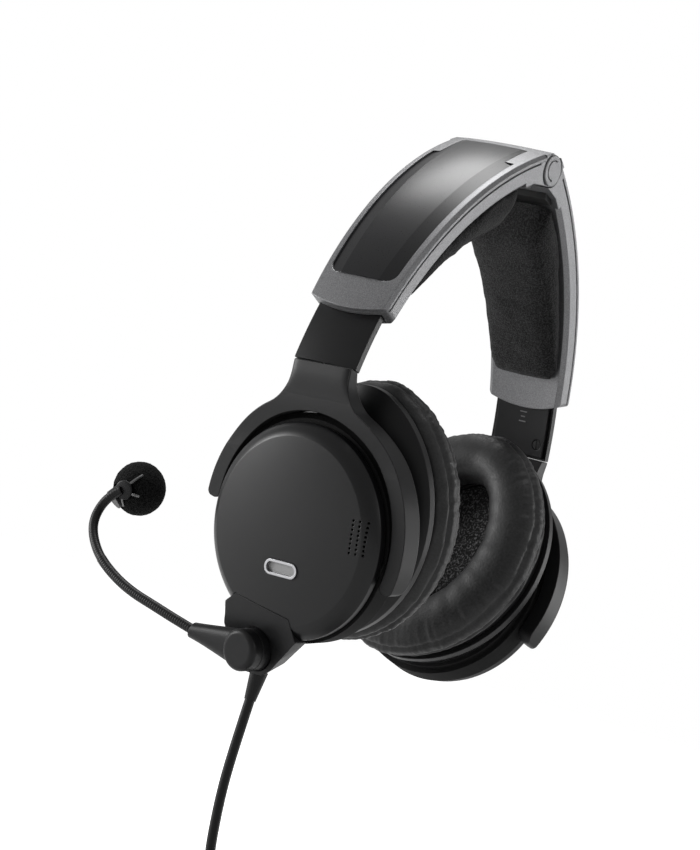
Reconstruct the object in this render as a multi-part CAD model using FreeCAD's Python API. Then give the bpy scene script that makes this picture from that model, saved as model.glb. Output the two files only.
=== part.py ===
import FreeCAD, Part
import math
import os
from FreeCAD import Matrix, Rotation, Vector

# Aviation headset with a hinged two-part head band, sliding arms, forks and round cups.
# Millimetres. +Z is up, the wearer looks along -Y and the wearer's left is +X.
# The origin is where the pads rest on the crown of the head.

# Head band
hinge_height = 20.0
hinge_radius = 6.8
hinge_half_length = 22.4
lug_length = 3.6
lug_front = -18.4
lug_rear = 15.3
knuckle_gap = 0.35
pin_radius = 2.2
pin_fit = 0.1
cap_radius = 6.5
cap_thickness = 1.2
cap_edge = 0.4
cap_groove_radius = 4.2
cap_groove_width = 0.6
cap_groove_depth = 0.45
cap_groove_sweep = 205.0
arch_radius = 160.8
arch_rise = 3.3
arch_start = 26.0
crown_radius = 134.0
band_half_at_hinge = 23.6
band_half_at_end = 17.8
band_end_angle = 72.0
end_bow = 3.4
band_begin_angle = 29.0
web_angle = 34.0
channel_begin_angle = 36.0
shell_thickness = 2.4
shell_edge = 1.3
shell_groove = 0.7
arm_channel = 4.8
frame_top = 1.8
frame_floor = 1.2
frame_edge = 1.9
frame_corner = 2.6
panel_inset = 3.6
panel_thickness = 1.5
panel_proud = 0.35
panel_gap = 0.15
panel_begin_angle = 30.5
panel_end_wall = 0.7
panel_end_angle = 66.8
panel_shoulder_angle = 36.6
panel_shoulder_inset = 4.2
panel_corner = 4.4
panel_bevel_width = 6.2
panel_bevel_depth = 1.1
guard_thickness = 2.4
guard_inset = 4.0
guard_begin_share = 0.42
guard_end_share = 0.93

# Head band pads
pad_begin_angle = 33.8
pad_end_angle = 66.8
pad_depth = 14.6
pad_inset = 1.9
pad_draft = 2.4
pad_round = 3.2
pad_clearance = 0.3

# Sliding arms
arm_half_width = 14.2
arm_side_gap = 0.4
arm_face_gap = 0.3
arm_thickness = 3.0
arm_liner_thickness = 1.2
arm_liner_inset = 1.6
arm_hidden_angle = 60.5
seam_angle = 80.1
seam_gap = 0.3
swivel_pin_radius = 1.25
swivel_pin_length = 5.2
swivel_fit = 0.1
screw_head_radius = 1.9
screw_head_height = 0.7
screw_shank_radius = 0.8
screw_clearance = 0.08
arm_screw_y = 9.0

# Cup frame: n points outward from the head, w up along the cup, s to the rear
cup_inward = 11.35
cup_drop = 63.65
cup_lean = 12.5
cup_cant = 13.0
turn_left = -6.8
turn_right = 5.0

# Forks
fork_clearance = 1.0
fork_width = 6.3
fork_ring_rise = 1.9
fork_face = -1.6
fork_depth = 8.8
fork_tip_below_pivot = 8.0
fork_shoulder = 16.0
fork_tip_corner = 2.4
fork_tip_round = 6.4
pivot_depth = -6.0
pivot_rise = 2.5
pivot_radius = 2.4
pivot_fit = 0.1
pivot_boss_radius = 4.4
pivot_inside = 9.2
pivot_in_fork = 4.0

# Cups
waist_radius = 43.2
waist_step = 1.4
waist_neck = 2.2
waist_begin = -2.6
waist_end = -11.6
waist_wall = 2.2
waist_back = -13.5
dome_crown = 8.5
dome_bevel_inset = 5.4
dome_bevel_height = 6.2
dome_edge_height = 1.3
dome_skirt = 1.3
dome_wall = 2.0
flange_front = -19.0
flange_back = -22.0
flange_half_height = 50.5
flange_half_width = 44.0
pad_centre_rise = 9.0
pad_centre_rear = 1.5
baffle_thickness = 2.0
baffle_gap = 0.2
driver_radius = 20.0
driver_depth = 7.0
magnet_radius = 10.0
magnet_depth = 4.0
board_half_length = 17.0
board_half_width = 11.0
board_thickness = 1.6
board_depth = -5.5
port_half_length = 8.2
port_half_width = 3.1
port_rim = 1.1
port_height = 0.5
port_s = 1.1
port_w = -14.3
port_fit = 0.1
grille_columns = 3
grille_rows = 8
grille_hole_radius = 0.5
grille_column_pitch = 2.9
grille_row_pitch = 1.75
grille_s = 34.6
grille_w = 3.9

# Ear cushions
cushion_over_height = 2.5
cushion_over_width = 2.0
cushion_back = -43.0
cushion_gap = 0.3
ring_thickness = 2.4
ring_inset = 2.0
opening_half_height = 30.6
opening_half_width = 21.2
liner_thickness = 1.0

# Boom
boom_s = -9.5
boom_below_waist = 4.6
boom_base_depth = 2.0
block_clearance = 0.3
relief_ahead = 0.7
relief_below_boom = 9.8
relief_n = -0.6
barrel_radius = 8.3
barrel_top = 9.0
barrel_fit = 0.25
barrel_pin_radius = 3.0
lever_thickness = 5.8
lever_edge = 2.2
lever_head_radius = 8.2
lever_tip_radius = 3.3
gooseneck_radius = 2.05
mic_clamp_radius = 4.2
mic_clamp_length = 7.0
capsule_radius = 4.4
capsule_length = 8.0
windscreen_radius = 10.8
windscreen_fit = 0.3

# Cord
cord_radius = 2.0
cord_total = 1500.0
relief_top_radius = 3.5
relief_tip_radius = 2.3
relief_length = 11.0
coil_layers = 4
coil_turns_per_layer = 2.5
coil_pitch = 4.7
coil_mean_radius = 22.3
coil_rear = 42.0
surface_level = -308.8
tie_thickness = 1.2
tie_width = 12.0
tie_gap = 0.5
plug_radius = 7.5
plug_length = 30.0
plug_grip_radius = 8.4
plug_relief_length = 16.0
contact_count = 6
contact_radius = 0.8
contact_circle = 2.6
plug_socket_depth = 7.0
grip_grooves = 6

Y_AXIS = Vector(0, 1, 0)
ORIGIN = Vector(0, 0, 0)


def sine(angle):
    return math.sin(math.radians(angle))


def cosine(angle):
    return math.cos(math.radians(angle))


# The arch: one circle holds each half of the band and the arm that slides in it.
hinge_circle = arch_radius - arch_rise
arch_x = -hinge_circle * sine(arch_start)
arch_z = hinge_height + hinge_radius - hinge_circle * cosine(arch_start)
arch_centre = Vector(arch_x, 0, arch_z)


def arch_point(angle, depth, y=0.0):
    radius = arch_radius - depth
    return Vector(arch_x + radius * sine(angle), y, arch_z + radius * cosine(angle))


def sag(half_width):
    return half_width * half_width / (2.0 * crown_radius)


def crowned_section(angle, half_width, top, bottom):
    drop = sag(half_width)
    points = []
    for y, depth in ((-half_width, top + drop), (0, top), (half_width, top + drop)):
        points.append(arch_point(angle, depth, y))
    upper = Part.Arc(*points).toShape()
    points = []
    for y, depth in ((half_width, bottom + drop), (0, bottom), (-half_width, bottom + drop)):
        points.append(arch_point(angle, depth, y))
    lower = Part.Arc(*points).toShape()
    sides = [
        Part.makeLine(arch_point(angle, top + drop, half_width),
                      arch_point(angle, bottom + drop, half_width)),
        Part.makeLine(arch_point(angle, bottom + drop, -half_width),
                      arch_point(angle, top + drop, -half_width)),
    ]
    return Part.Face(Part.Wire([upper, sides[0], lower, sides[1]]))


def crowned_slab(half_width, top, bottom, begin, end):
    section = crowned_section(begin, half_width, top, bottom)
    return section.revolve(arch_centre, Y_AXIS, end - begin)


band_top_z = hinge_height + hinge_radius
band_end_z = arch_point(band_end_angle, 0).z


def band_half_width(z):
    share = (band_top_z - z) / (band_top_z - band_end_z)
    return band_half_at_hinge + (band_half_at_end - band_half_at_hinge) * share


def plan_prism(outline, corners=(), corner_radius=0.0):
    """A prism along X through an outline of (y, z) points, with some corners rounded."""
    points = [Vector(-20, y, z) for y, z in outline]
    prism = Part.Face(Part.makePolygon(points + points[:1])).extrude(Vector(160, 0, 0))
    if not corners:
        return prism
    picked = []
    for edge in prism.Edges:
        first, last = edge.Vertexes[0].Point, edge.Vertexes[-1].Point
        if abs(first.y - last.y) > 0.01 or abs(first.z - last.z) > 0.01:
            continue
        for y, z in corners:
            if abs(first.y - y) < 0.01 and abs(first.z - z) < 0.01:
                picked.append(edge)
    return prism.makeFillet(corner_radius, picked)


def band_plan(inset):
    high = band_top_z + 10
    low = band_end_z - 20
    top = band_half_width(high) - inset
    bottom = band_half_width(low) - inset
    return plan_prism([(-top, high), (top, high), (bottom, low), (-bottom, low)])


def tapered(solid, inset=0.0):
    return solid.common(band_plan(inset))


wide = band_half_at_hinge + 6
channel_top = shell_thickness + frame_top
channel_floor = channel_top + arm_channel
frame_depth = channel_floor + frame_floor
channel_half = arm_half_width + arm_side_gap
wall_thickness = band_half_width(band_end_z) - channel_half


def rounded_end(solid):
    """Bow the lower end of a band half and round its two corners, as seen from outside."""
    end = arch_point(band_end_angle, 0)
    reach = 4 * frame_corner
    half = band_half_width(end.z)
    half_above = band_half_width(arch_point(band_end_angle, 0).z + reach) + 0.4
    low = -frame_depth - 10
    high = 2 * frame_depth + 20
    points = [Vector(-end_bow, -half, low), Vector(0, 0, low), Vector(-end_bow, half, low)]
    edges = [
        Part.Arc(*points).toShape(),
        Part.makeLine(points[2], Vector(-reach, half_above, low)),
        Part.makeLine(Vector(-reach, half_above, low), Vector(-reach, -half_above, low)),
        Part.makeLine(Vector(-reach, -half_above, low), points[0]),
    ]
    keep = Part.Face(Part.Wire(edges)).extrude(Vector(0, 0, high))
    corners = []
    for edge in keep.Edges:
        box = edge.BoundBox
        if box.ZLength > high - 1 and abs(box.XMin + end_bow) < 0.01:
            corners.append(edge)
    keep = keep.makeFillet(frame_corner, corners)
    cutter = Part.makeBox(reach + 30, 2 * wide, high, Vector(-reach, -wide, low)).cut(keep)
    cutter.rotate(ORIGIN, Y_AXIS, band_end_angle)
    cutter.translate(end)
    return solid.cut(cutter)


def edge_cutter(inset, level, across, down, side, begin, end):
    """A wedge that bevels one long edge. Down is positive on outer faces, negative on inner ones."""
    sections = []
    steps = 8
    sign = 1 if down > 0 else -1
    for step in range(steps + 1):
        angle = begin + (end - begin) * step / steps
        half = band_half_width(arch_point(angle, level).z) - inset
        edge = arch_point(angle, level + sag(half) + down, side * half)
        inner = arch_point(angle, level + sag(half - across), side * (half - across))
        slope = (edge - inner) * 0.4
        out = arch_point(angle, 0) - arch_centre
        out.normalize()
        corner = edge + slope + out * (sign * (abs(down) * 1.8 + 1.0))
        wire = Part.makePolygon([edge + slope, inner - slope, corner, edge + slope])
        sections.append(wire)
    return Part.makeLoft(sections, True)


def bevel_edges(solid, inset, level, across, down, begin, end):
    for side in (-1, 1):
        solid = solid.cut(edge_cutter(inset, level, across, down, side, begin, end))
    return solid


def knuckle(y_from, y_to):
    return Part.makeCylinder(hinge_radius, y_to - y_from, Vector(0, y_from, hinge_height), Y_AXIS)


def lug_spans(grow):
    """Where the narrow lugs of the right half stand along the hinge, from front to rear."""
    spans = []
    for middle in (lug_front, lug_rear):
        spans.append((middle - lug_length / 2 - grow, middle + lug_length / 2 + grow))
    return spans


def main_spans(grow):
    """Where the knuckles of the left half stand between and outside the lugs."""
    ends = [-hinge_half_length - grow]
    for start, stop in lug_spans(knuckle_gap - grow):
        ends += [start, stop]
    ends.append(hinge_half_length + grow)
    return list(zip(ends[::2], ends[1::2]))


def hinge_web():
    """The wedge that ties the hinge barrel to the end of a band half."""
    width = band_half_at_hinge
    corners = [
        Vector(0, -width, hinge_height + hinge_radius),
        arch_point(band_begin_angle, 0, -width),
        arch_point(band_begin_angle, shell_thickness, -width),
        arch_point(web_angle, shell_thickness + 0.5, -width),
        arch_point(web_angle, frame_depth, -width),
        Vector(0, -width, hinge_height - hinge_radius),
    ]
    web = Part.Face(Part.makePolygon(corners + corners[:1])).extrude(Vector(0, 2 * width, 0))
    web = web.common(crowned_slab(wide, 0, 3 * frame_depth, arch_start - 6, web_angle + 1))
    under_shell = crowned_slab(wide, -2 * shell_thickness, shell_thickness, band_begin_angle, web_angle + 2)
    return tapered(web.cut(under_shell))


def hinge_bore(radius):
    length = 2 * hinge_half_length + 20
    return Part.makeCylinder(radius, length, Vector(0, -length / 2, hinge_height), Y_AXIS)


def barrel_clearance(y_from, y_to):
    radius = hinge_radius + knuckle_gap
    return Part.makeCylinder(radius, y_to - y_from, Vector(0, y_from, hinge_height), Y_AXIS)


def band_frame(has_main_knuckles):
    body = crowned_slab(wide, shell_thickness, frame_depth, band_begin_angle - 0.5, band_end_angle + 1)
    body = tapered(body)
    body = body.fuse(hinge_web())
    pocket = tapered(crowned_slab(wide, channel_top, channel_floor, channel_begin_angle, band_end_angle + 2),
                     wall_thickness)
    groove_outer = crowned_slab(wide, shell_thickness - 1, shell_thickness + shell_groove,
                                band_begin_angle + 1.5, band_end_angle + 2)
    groove = groove_outer.cut(band_plan(shell_groove))
    body = body.cut(pocket).cut(groove)
    body = bevel_edges(body, 0, frame_depth, frame_edge, -frame_edge, web_angle + 0.5, band_end_angle + 2)
    body = rounded_end(body)
    own, other = (main_spans, lug_spans) if has_main_knuckles else (lug_spans, main_spans)
    for start, stop in other(knuckle_gap):
        body = body.cut(barrel_clearance(start, stop))
    for start, stop in own(0):
        body = body.fuse(knuckle(start, stop))
    body = body.cut(hinge_bore(pin_radius + pin_fit))
    for side in (-1, 1):
        start = Vector(0, side * hinge_half_length, hinge_height)
        recess = Part.makeCylinder(hinge_radius + knuckle_gap, 5, start, Vector(0, side, 0))
        body = body.cut(recess)
    return body.removeSplitter()


def panel_plan(inset):
    """The plan of the inset panel: full width, with a narrower tongue toward the hinge."""
    top = arch_point(panel_begin_angle, 0).z
    shoulder = arch_point(panel_shoulder_angle, 0).z
    low = arch_point(panel_end_angle, 0).z
    half_top = band_half_width(top) - inset - panel_shoulder_inset
    half_shoulder = band_half_width(shoulder) - inset
    half_low = band_half_width(low) - inset
    outline = [
        (-half_top, top), (half_top, top), (half_top, shoulder), (half_shoulder, shoulder),
        (half_low, low), (-half_low, low), (-half_shoulder, shoulder), (-half_top, shoulder),
    ]
    return plan_prism(outline, [(half_low, low), (-half_low, low)], panel_corner)


def band_shell():
    body = tapered(crowned_slab(wide, 0, shell_thickness, band_begin_angle, band_end_angle + 1))
    begin = band_begin_angle + panel_end_wall
    recess = crowned_slab(wide, -3, panel_thickness + panel_gap, begin, band_end_angle)
    body = body.cut(recess.common(panel_plan(panel_inset)))
    body = bevel_edges(body, 0, 0, shell_edge, shell_edge, band_begin_angle - 1, band_end_angle + 2)
    return rounded_end(body)


def band_panel():
    bottom = panel_thickness + panel_gap - 0.02
    begin = band_begin_angle + panel_end_wall + 0.1
    body = crowned_slab(wide, -panel_proud, bottom, begin, band_end_angle)
    body = body.common(panel_plan(panel_inset + panel_gap))
    return bevel_edges(body, panel_inset + panel_gap, -panel_proud, panel_bevel_width, panel_bevel_depth,
                       band_begin_angle, band_end_angle)


def hinge_guard():
    """The soft plastic web under the hinge that covers the wires between the pads."""
    half = band_half_at_hinge - guard_inset
    low = Vector(0, 0, hinge_height - hinge_radius)
    high = arch_point(web_angle, frame_depth)
    along = high - low
    first = low + along * guard_begin_share + Vector(0, -half, -0.02)
    last = low + along * guard_end_share + Vector(0, -half, -0.02)
    down = arch_centre - last
    down.y = 0
    down.normalize()
    corners = [first, last, last + down * guard_thickness, first + Vector(0.8, 0, -guard_thickness)]
    body = Part.Face(Part.makePolygon(corners + corners[:1])).extrude(Vector(0, 2 * half, 0))
    return body.cut(crowned_slab(wide, 0, frame_depth + 0.02, arch_start, web_angle + 2))


def pad_section(angle, half_width, depth, top):
    """A pad cut across: a flat inner face, drawn-in sides and rounded corners."""
    half_base = half_width - 0.8
    round_ = min(pad_round, 0.45 * depth)
    inner_half = half_width - pad_draft * depth / pad_depth
    inner = top + 0.6 * sag(half_width) + depth
    sides = []
    for side in (1, -1):
        sides.append([
            arch_point(angle, top + sag(half_base), side * half_base),
            arch_point(angle, top + sag(half_base) + 0.4 * (depth - round_), side * half_width),
            arch_point(angle, inner - round_, side * inner_half),
            arch_point(angle, inner - 0.3 * round_, side * (inner_half - 0.3 * round_)),
            arch_point(angle, inner, side * (inner_half - round_)),
        ])
    right, left = sides
    edges = [
        Part.Arc(left[0], arch_point(angle, top, 0), right[0]).toShape(),
        Part.Arc(right[0], right[1], right[2]).toShape(),
        Part.Arc(right[2], right[3], right[4]).toShape(),
        Part.Arc(right[4], arch_point(angle, inner + 0.3, 0), left[4]).toShape(),
        Part.Arc(left[4], left[3], left[2]).toShape(),
        Part.Arc(left[2], left[1], left[0]).toShape(),
    ]
    return Part.Wire(edges)


def band_pad():
    top = frame_depth + pad_clearance
    span = pad_end_angle - pad_begin_angle
    sections = []
    for share, width_cut, depth_share in (
        (0.0, 2.4, 0.34), (0.035, 0.7, 0.68), (0.1, 0.1, 0.94), (0.2, 0.0, 1.0), (0.34, 0.0, 0.93),
        (0.5, 0.0, 0.78), (0.65, 0.0, 0.7), (0.8, 0.0, 0.55), (0.92, 0.1, 0.38), (0.98, 0.9, 0.24),
        (1.0, 2.6, 0.14),
    ):
        angle = pad_begin_angle + span * share
        half_width = band_half_width(arch_point(angle, frame_depth).z) - pad_inset - width_cut
        sections.append(pad_section(angle, half_width, pad_depth * depth_share, top))
    return Part.makeLoft(sections, True)


arm_top = channel_top + arm_face_gap
arm_bottom = arm_top + arm_thickness
arm_liner_bottom = arm_bottom + arm_liner_thickness
swivel_depth = arm_top + arm_thickness / 2
swivel_point = arch_point(seam_angle, swivel_depth)
swivel_down = Vector(cosine(seam_angle), 0, -sine(seam_angle))


def swivel_cylinder(radius, above, below):
    start = swivel_point - swivel_down * above
    return Part.makeCylinder(radius, above + below, start, swivel_down)


def arm():
    body = crowned_slab(arm_half_width, arm_top, arm_bottom, arm_hidden_angle, seam_angle)
    pin = swivel_cylinder(swivel_pin_radius, 2.0, swivel_pin_length)
    return body.fuse(pin).removeSplitter()


def arm_screw_place():
    start = arch_point(seam_angle - 2.4, arm_liner_bottom + sag(arm_screw_y), arm_screw_y)
    inward = arch_centre - arch_point(seam_angle - 2.4, 0)
    inward.normalize()
    return start, inward


def arm_liner():
    half = arm_half_width - arm_liner_inset
    body = crowned_slab(half, arm_bottom, arm_liner_bottom, arm_hidden_angle + 1, seam_angle - 0.4)
    start, inward = arm_screw_place()
    pocket = Part.makeCylinder(screw_head_radius + 0.3, 3, start - inward * screw_head_height, inward)
    hole = Part.makeCylinder(screw_shank_radius + 0.05, 4, start - inward * 3, inward)
    return body.cut(pocket).cut(hole)


def arm_screw():
    start, inward = arm_screw_place()
    head_base = start - inward * screw_head_height
    head = Part.makeCylinder(screw_head_radius, screw_head_height * 0.85, head_base, inward)
    slot = Part.makeBox(2 * screw_head_radius, 0.5, 1.0, Vector(-screw_head_radius, -0.25, 0))
    slot.Placement = FreeCAD.Placement(head_base + inward * 0.4, Rotation(Vector(0, 0, 1), inward))
    shank_length = arm_liner_thickness - screw_head_height - screw_clearance
    shank = Part.makeCylinder(screw_shank_radius, shank_length, head_base - inward * shank_length, inward)
    return head.cut(slot).fuse(shank)


# The cup's own directions before the fork is turned about its swivel
cup_n = Vector(cosine(cup_lean), 0, -sine(cup_lean))
cup_w = Vector(sine(cup_lean), 0, cosine(cup_lean))
cup_s = Vector(0, 1, 0)
cup_origin = swivel_point - Vector(cup_inward, 0, cup_drop)
fork_inner = waist_radius + fork_clearance
fork_outer = fork_inner + fork_width
dome_radius = waist_radius - waist_step
dome_bevel_radius = dome_radius - dome_bevel_inset
far = 4 * fork_outer


def cup_point(n, w, s):
    return cup_origin + cup_n * n + cup_w * w + cup_s * s


cup_frame = Matrix(
    cup_s.x, cup_w.x, cup_n.x, cup_origin.x,
    cup_s.y, cup_w.y, cup_n.y, cup_origin.y,
    cup_s.z, cup_w.z, cup_n.z, cup_origin.z,
    0, 0, 0, 1,
)


def in_cup(shape):
    """Place a shape drawn with X to the rear, Y up and Z outward."""
    return shape.transformed(cup_frame)


def fork_front():
    """The fork seen from outside, as a thick plate: ring, shoulders and stem."""
    thick = 60.0
    at = Vector(0, fork_ring_rise, -thick / 2)
    seam = swivel_point - cup_origin
    stem_top = seam.dot(cup_w) + 6
    ring = Part.makeCylinder(fork_outer, thick, at)
    reach = arm_half_width + fork_shoulder
    rise = math.sqrt((fork_outer + fork_shoulder) ** 2 - reach ** 2)
    centre_w = fork_ring_rise + rise
    touch = fork_outer / (fork_outer + fork_shoulder)
    stem = Part.makeBox(2 * arm_half_width, stem_top - fork_ring_rise, thick,
                        Vector(-arm_half_width, fork_ring_rise, -thick / 2))
    body = ring.fuse(stem)
    for side in (-1, 1):
        corners = [
            Vector(0, fork_ring_rise, -thick / 2),
            Vector(side * arm_half_width, centre_w, -thick / 2),
            Vector(side * reach, centre_w, -thick / 2),
            Vector(side * reach * touch, fork_ring_rise + rise * touch, -thick / 2),
        ]
        web = Part.Face(Part.makePolygon(corners + corners[:1])).extrude(Vector(0, 0, thick))
        hollow = Part.makeCylinder(fork_shoulder, thick, Vector(side * reach, centre_w, -thick / 2))
        body = body.fuse(web.cut(hollow))
    body = body.cut(Part.makeCylinder(fork_inner, thick, at))
    below = Part.makeBox(far, far / 2, thick, Vector(-far / 2, -far / 2, -thick / 2))
    below.translate(Vector(0, pivot_rise - fork_tip_below_pivot, 0))
    body = body.cut(canted_about_pivot(below))
    corners = []
    for edge in body.Edges:
        box = edge.BoundBox
        if box.ZLength > thick - 1 and box.YMax < fork_shoulder:
            corners.append(edge)
    return body.makeFillet(fork_tip_corner, corners)


def tip_rounding():
    """What is cut from the fork's tips, seen along the pivots, so that they thin toward the end."""
    low = pivot_rise - fork_tip_below_pivot
    back = fork_face - fork_depth
    square = Part.makeBox(far, fork_tip_round + 1, fork_tip_round + 1, Vector(-far / 2, low - 1, back - 1))
    at = Vector(-far / 2, low + fork_tip_round, back + fork_tip_round)
    round_ = Part.makeCylinder(fork_tip_round, far, at, Vector(1, 0, 0))
    return in_cup(canted_about_pivot(square.cut(round_)))


def fork_side():
    """The fork seen from the front: a curved strip from the arm's end to the tips."""
    outer_seam = arch_point(seam_angle, arm_top) + swivel_down * seam_gap
    inner_seam = arch_point(seam_angle, arm_liner_bottom) + swivel_down * seam_gap
    back = fork_face - fork_depth
    outer = [
        outer_seam, cup_point(-0.1, 56, 0), cup_point(0.2, 49, 0), cup_point(-0.9, 39, 0),
        cup_point(fork_face, 27, 0),
    ]
    inner = [
        cup_point(back, 27, 0), cup_point(back + 0.5, 36, 0), cup_point(-7.8, 46, 0),
        cup_point(-6.2, 55, 0), inner_seam,
    ]
    low = -40
    outer_curve = Part.BSplineCurve()
    outer_curve.interpolate(outer)
    inner_curve = Part.BSplineCurve()
    inner_curve.interpolate(inner)
    edges = [
        outer_curve.toShape(),
        Part.makeLine(outer[-1], cup_point(fork_face, low, 0)),
        Part.makeLine(cup_point(fork_face, low, 0), cup_point(back, low, 0)),
        Part.makeLine(cup_point(back, low, 0), inner[0]),
        inner_curve.toShape(),
        Part.makeLine(inner_seam, outer_seam),
    ]
    half = fork_outer + 10
    face = Part.Face(Part.Wire(edges))
    face.translate(Vector(0, -half, 0))
    return face.extrude(Vector(0, 2 * half, 0))


def pivot_cylinder(radius, inner, outer, side):
    start = Vector(side * inner, pivot_rise, pivot_depth)
    body = Part.makeCylinder(radius, outer - inner, start, Vector(side, 0, 0))
    body.rotate(start, Vector(1, 0, 0), 90)
    return body


def canted_about_pivot(shape):
    """Cant a drawing about the middle of the pivot axis."""
    shape = shape.copy()
    shape.rotate(Vector(0, pivot_rise, 0), Vector(0, 0, 1), -cup_cant)
    return shape


def fork():
    body = in_cup(fork_front()).common(fork_side()).cut(tip_rounding())
    body = body.cut(swivel_cylinder(swivel_pin_radius + swivel_fit, 5, swivel_pin_length + seam_gap + 0.4))
    for side in (-1, 1):
        bore = pivot_cylinder(pivot_radius + 0.02, fork_inner - 8, fork_inner + pivot_in_fork, side)
        body = body.cut(in_cup(canted_about_pivot(bore)))
    return body.removeSplitter()


def pivot_pins():
    pins = []
    for side in (-1, 1):
        pin = pivot_cylinder(pivot_radius, waist_radius - pivot_inside, fork_inner + pivot_in_fork, side)
        pins.append(in_cup(canted_about_pivot(pin)))
    return Part.makeCompound(pins)


boom_w = -waist_radius - boom_below_waist
relief_s = boom_s - relief_ahead
relief_w = boom_w - relief_below_boom


def dome_profile(shrink):
    """The outline of the dome's outside, as (radius, height) points, drawn in by shrink."""
    return [
        (0.0, dome_crown - shrink),
        (dome_bevel_radius * 0.5, dome_crown - shrink - 0.55),
        (dome_bevel_radius - shrink * 0.4, dome_bevel_height - shrink * 0.95),
        (dome_radius - shrink, dome_edge_height - shrink * 0.3),
    ]


def dome_solid(shrink, low):
    top, middle, bevel, edge = [Vector(r, 0, h) for r, h in dome_profile(shrink)]
    edges = [
        Part.Arc(top, middle, bevel).toShape(),
        Part.Arc(bevel, (bevel + edge) * 0.5 + Vector(0.45, 0, 0.45), edge).toShape(),
        Part.makeLine(edge, Vector(edge.x, 0, low)),
        Part.makeLine(Vector(edge.x, 0, low), Vector(0, 0, low)),
        Part.makeLine(Vector(0, 0, low), top),
    ]
    return Part.Face(Part.Wire(edges)).revolve(ORIGIN, Vector(0, 0, 1), 360)


def boom_block_outline(grow):
    """The boom's mounting block seen from outside, as (s, w) points round the barrel."""
    offsets = [(-21.5, 12.8), (-12.0, 19.6), (5.6, 16.7), (16.3, 14.9), (20.1, 6.6), (7.7, -7.4),
               (4.0, -relief_below_boom), (-5.5, -relief_below_boom), (-16.0, 3.8)]
    centre = Vector(boom_s + 0.5, boom_w + 4.8, 0)
    grown = []
    for ds, dw in offsets:
        out = Vector(boom_s + ds, boom_w + dw, 0) - centre
        grown.append(centre + out * (1 + grow / out.Length))
    return grown


def block_prism(grow, low, high):
    points = [p + Vector(0, 0, low) for p in boom_block_outline(grow)]
    return Part.Face(Part.makePolygon(points + points[:1])).extrude(Vector(0, 0, high - low))


def stadium(half_length, half_width, low, high):
    """A flat oblong with round ends, along X."""
    straight = half_length - half_width
    body = Part.makeBox(2 * straight, 2 * half_width, high - low, Vector(-straight, -half_width, low))
    for side in (-1, 1):
        body = body.fuse(Part.makeCylinder(half_width, high - low, Vector(side * straight, 0, low)))
    return body.removeSplitter()


def at_port(shape):
    shape.translate(Vector(port_s, port_w, 0))
    return shape


def grille_holes():
    holes = []
    for column in range(grille_columns):
        for row in range(grille_rows):
            s = grille_s + (column - (grille_columns - 1) / 2) * grille_column_pitch
            w = grille_w + (row - (grille_rows - 1) / 2) * grille_row_pitch
            holes.append(Part.makeCylinder(grille_hole_radius, 12, Vector(s, w, -1)))
    return Part.makeCompound(holes)


def cup_cover(has_boom):
    body = dome_solid(0, -dome_skirt)
    body = body.cut(dome_solid(dome_wall, -dome_skirt - 1))
    seat = at_port(stadium(port_half_length, port_half_width, 0, 20))
    body = body.cut(seat)
    if has_boom:
        body = body.cut(block_prism(barrel_fit, -5, 20))
    body = body.cut(grille_holes())
    return in_cup(body)


def port_face_height():
    radius = math.hypot(port_s, port_w)
    return dome_crown - 0.55 * (radius / (dome_bevel_radius * 0.5)) ** 2


def port_bezel():
    level = port_face_height()
    low = level - dome_wall
    outer = stadium(port_half_length - port_fit, port_half_width - port_fit, low, level + port_height)
    inner = stadium(port_half_length - port_rim, port_half_width - port_rim, low - 1, level + 2)
    return in_cup(at_port(outer.cut(inner)))


def port_mesh():
    level = port_face_height() - 0.8
    half_length = port_half_length - port_rim - 0.05
    half_width = port_half_width - port_rim - 0.05
    body = stadium(half_length, half_width, level - 0.6, level)
    return in_cup(at_port(body))


def oval(half_height, half_width, level, rise):
    """An oval of four tangent arcs, taller along Y, at a height along Z."""
    ratio = 0.62
    corner = half_width * ratio
    # The big side arcs meet the small end arcs where both have the same direction.
    span = half_height - corner
    side = (span * span + half_width * half_width - corner * corner) / (2 * (half_width - corner))
    side_centre = half_width - side
    toward = math.atan2(span, -side_centre)
    meet = Vector(corner * math.cos(toward), span + corner * math.sin(toward), 0)
    lift = Vector(pad_centre_rear if rise else 0, rise, level)
    right_top = meet
    right_low = Vector(meet.x, -meet.y, 0)
    left_top = Vector(-meet.x, meet.y, 0)
    left_low = Vector(-meet.x, -meet.y, 0)
    edges = []
    for start, middle, end in (
        (right_low, Vector(half_width, 0, 0), right_top),
        (right_top, Vector(0, half_height, 0), left_top),
        (left_top, Vector(-half_width, 0, 0), left_low),
        (left_low, Vector(0, -half_height, 0), right_low),
    ):
        edges.append(Part.Arc(start + lift, middle + lift, end + lift).toShape())
    return Part.Wire(edges)


def oval_prism(half_height, half_width, low, high, rise=None):
    rise = pad_centre_rise if rise is None else rise
    return Part.Face(oval(half_height, half_width, low, rise)).extrude(Vector(0, 0, high - low))


def oval_loft(levels, rise=None):
    rise = pad_centre_rise if rise is None else rise
    return Part.makeLoft([oval(height, width, level, rise) for level, height, width in levels], True)


def housing_body(inset):
    """The outside of the cup's body: a stepped round waist that flares to the oval flange."""
    neck = waist_radius - waist_neck - inset
    body = Part.makeCylinder(neck, -waist_back, Vector(0, 0, waist_back))
    ring = Part.makeCylinder(waist_radius - inset, waist_begin - waist_end - 2 * inset * 0.3,
                             Vector(0, 0, waist_end + inset * 0.3))
    body = body.fuse(ring)
    flare = Part.makeLoft([
        oval(neck - 1.5, neck - 3.0, waist_back + 1.5, 0),
        oval(flange_half_height - inset, flange_half_width - inset, flange_front, pad_centre_rise),
    ], True, True)
    rim = oval_prism(flange_half_height - inset, flange_half_width - inset, flange_back, flange_front)
    return body.fuse(flare.fuse(rim))


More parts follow.
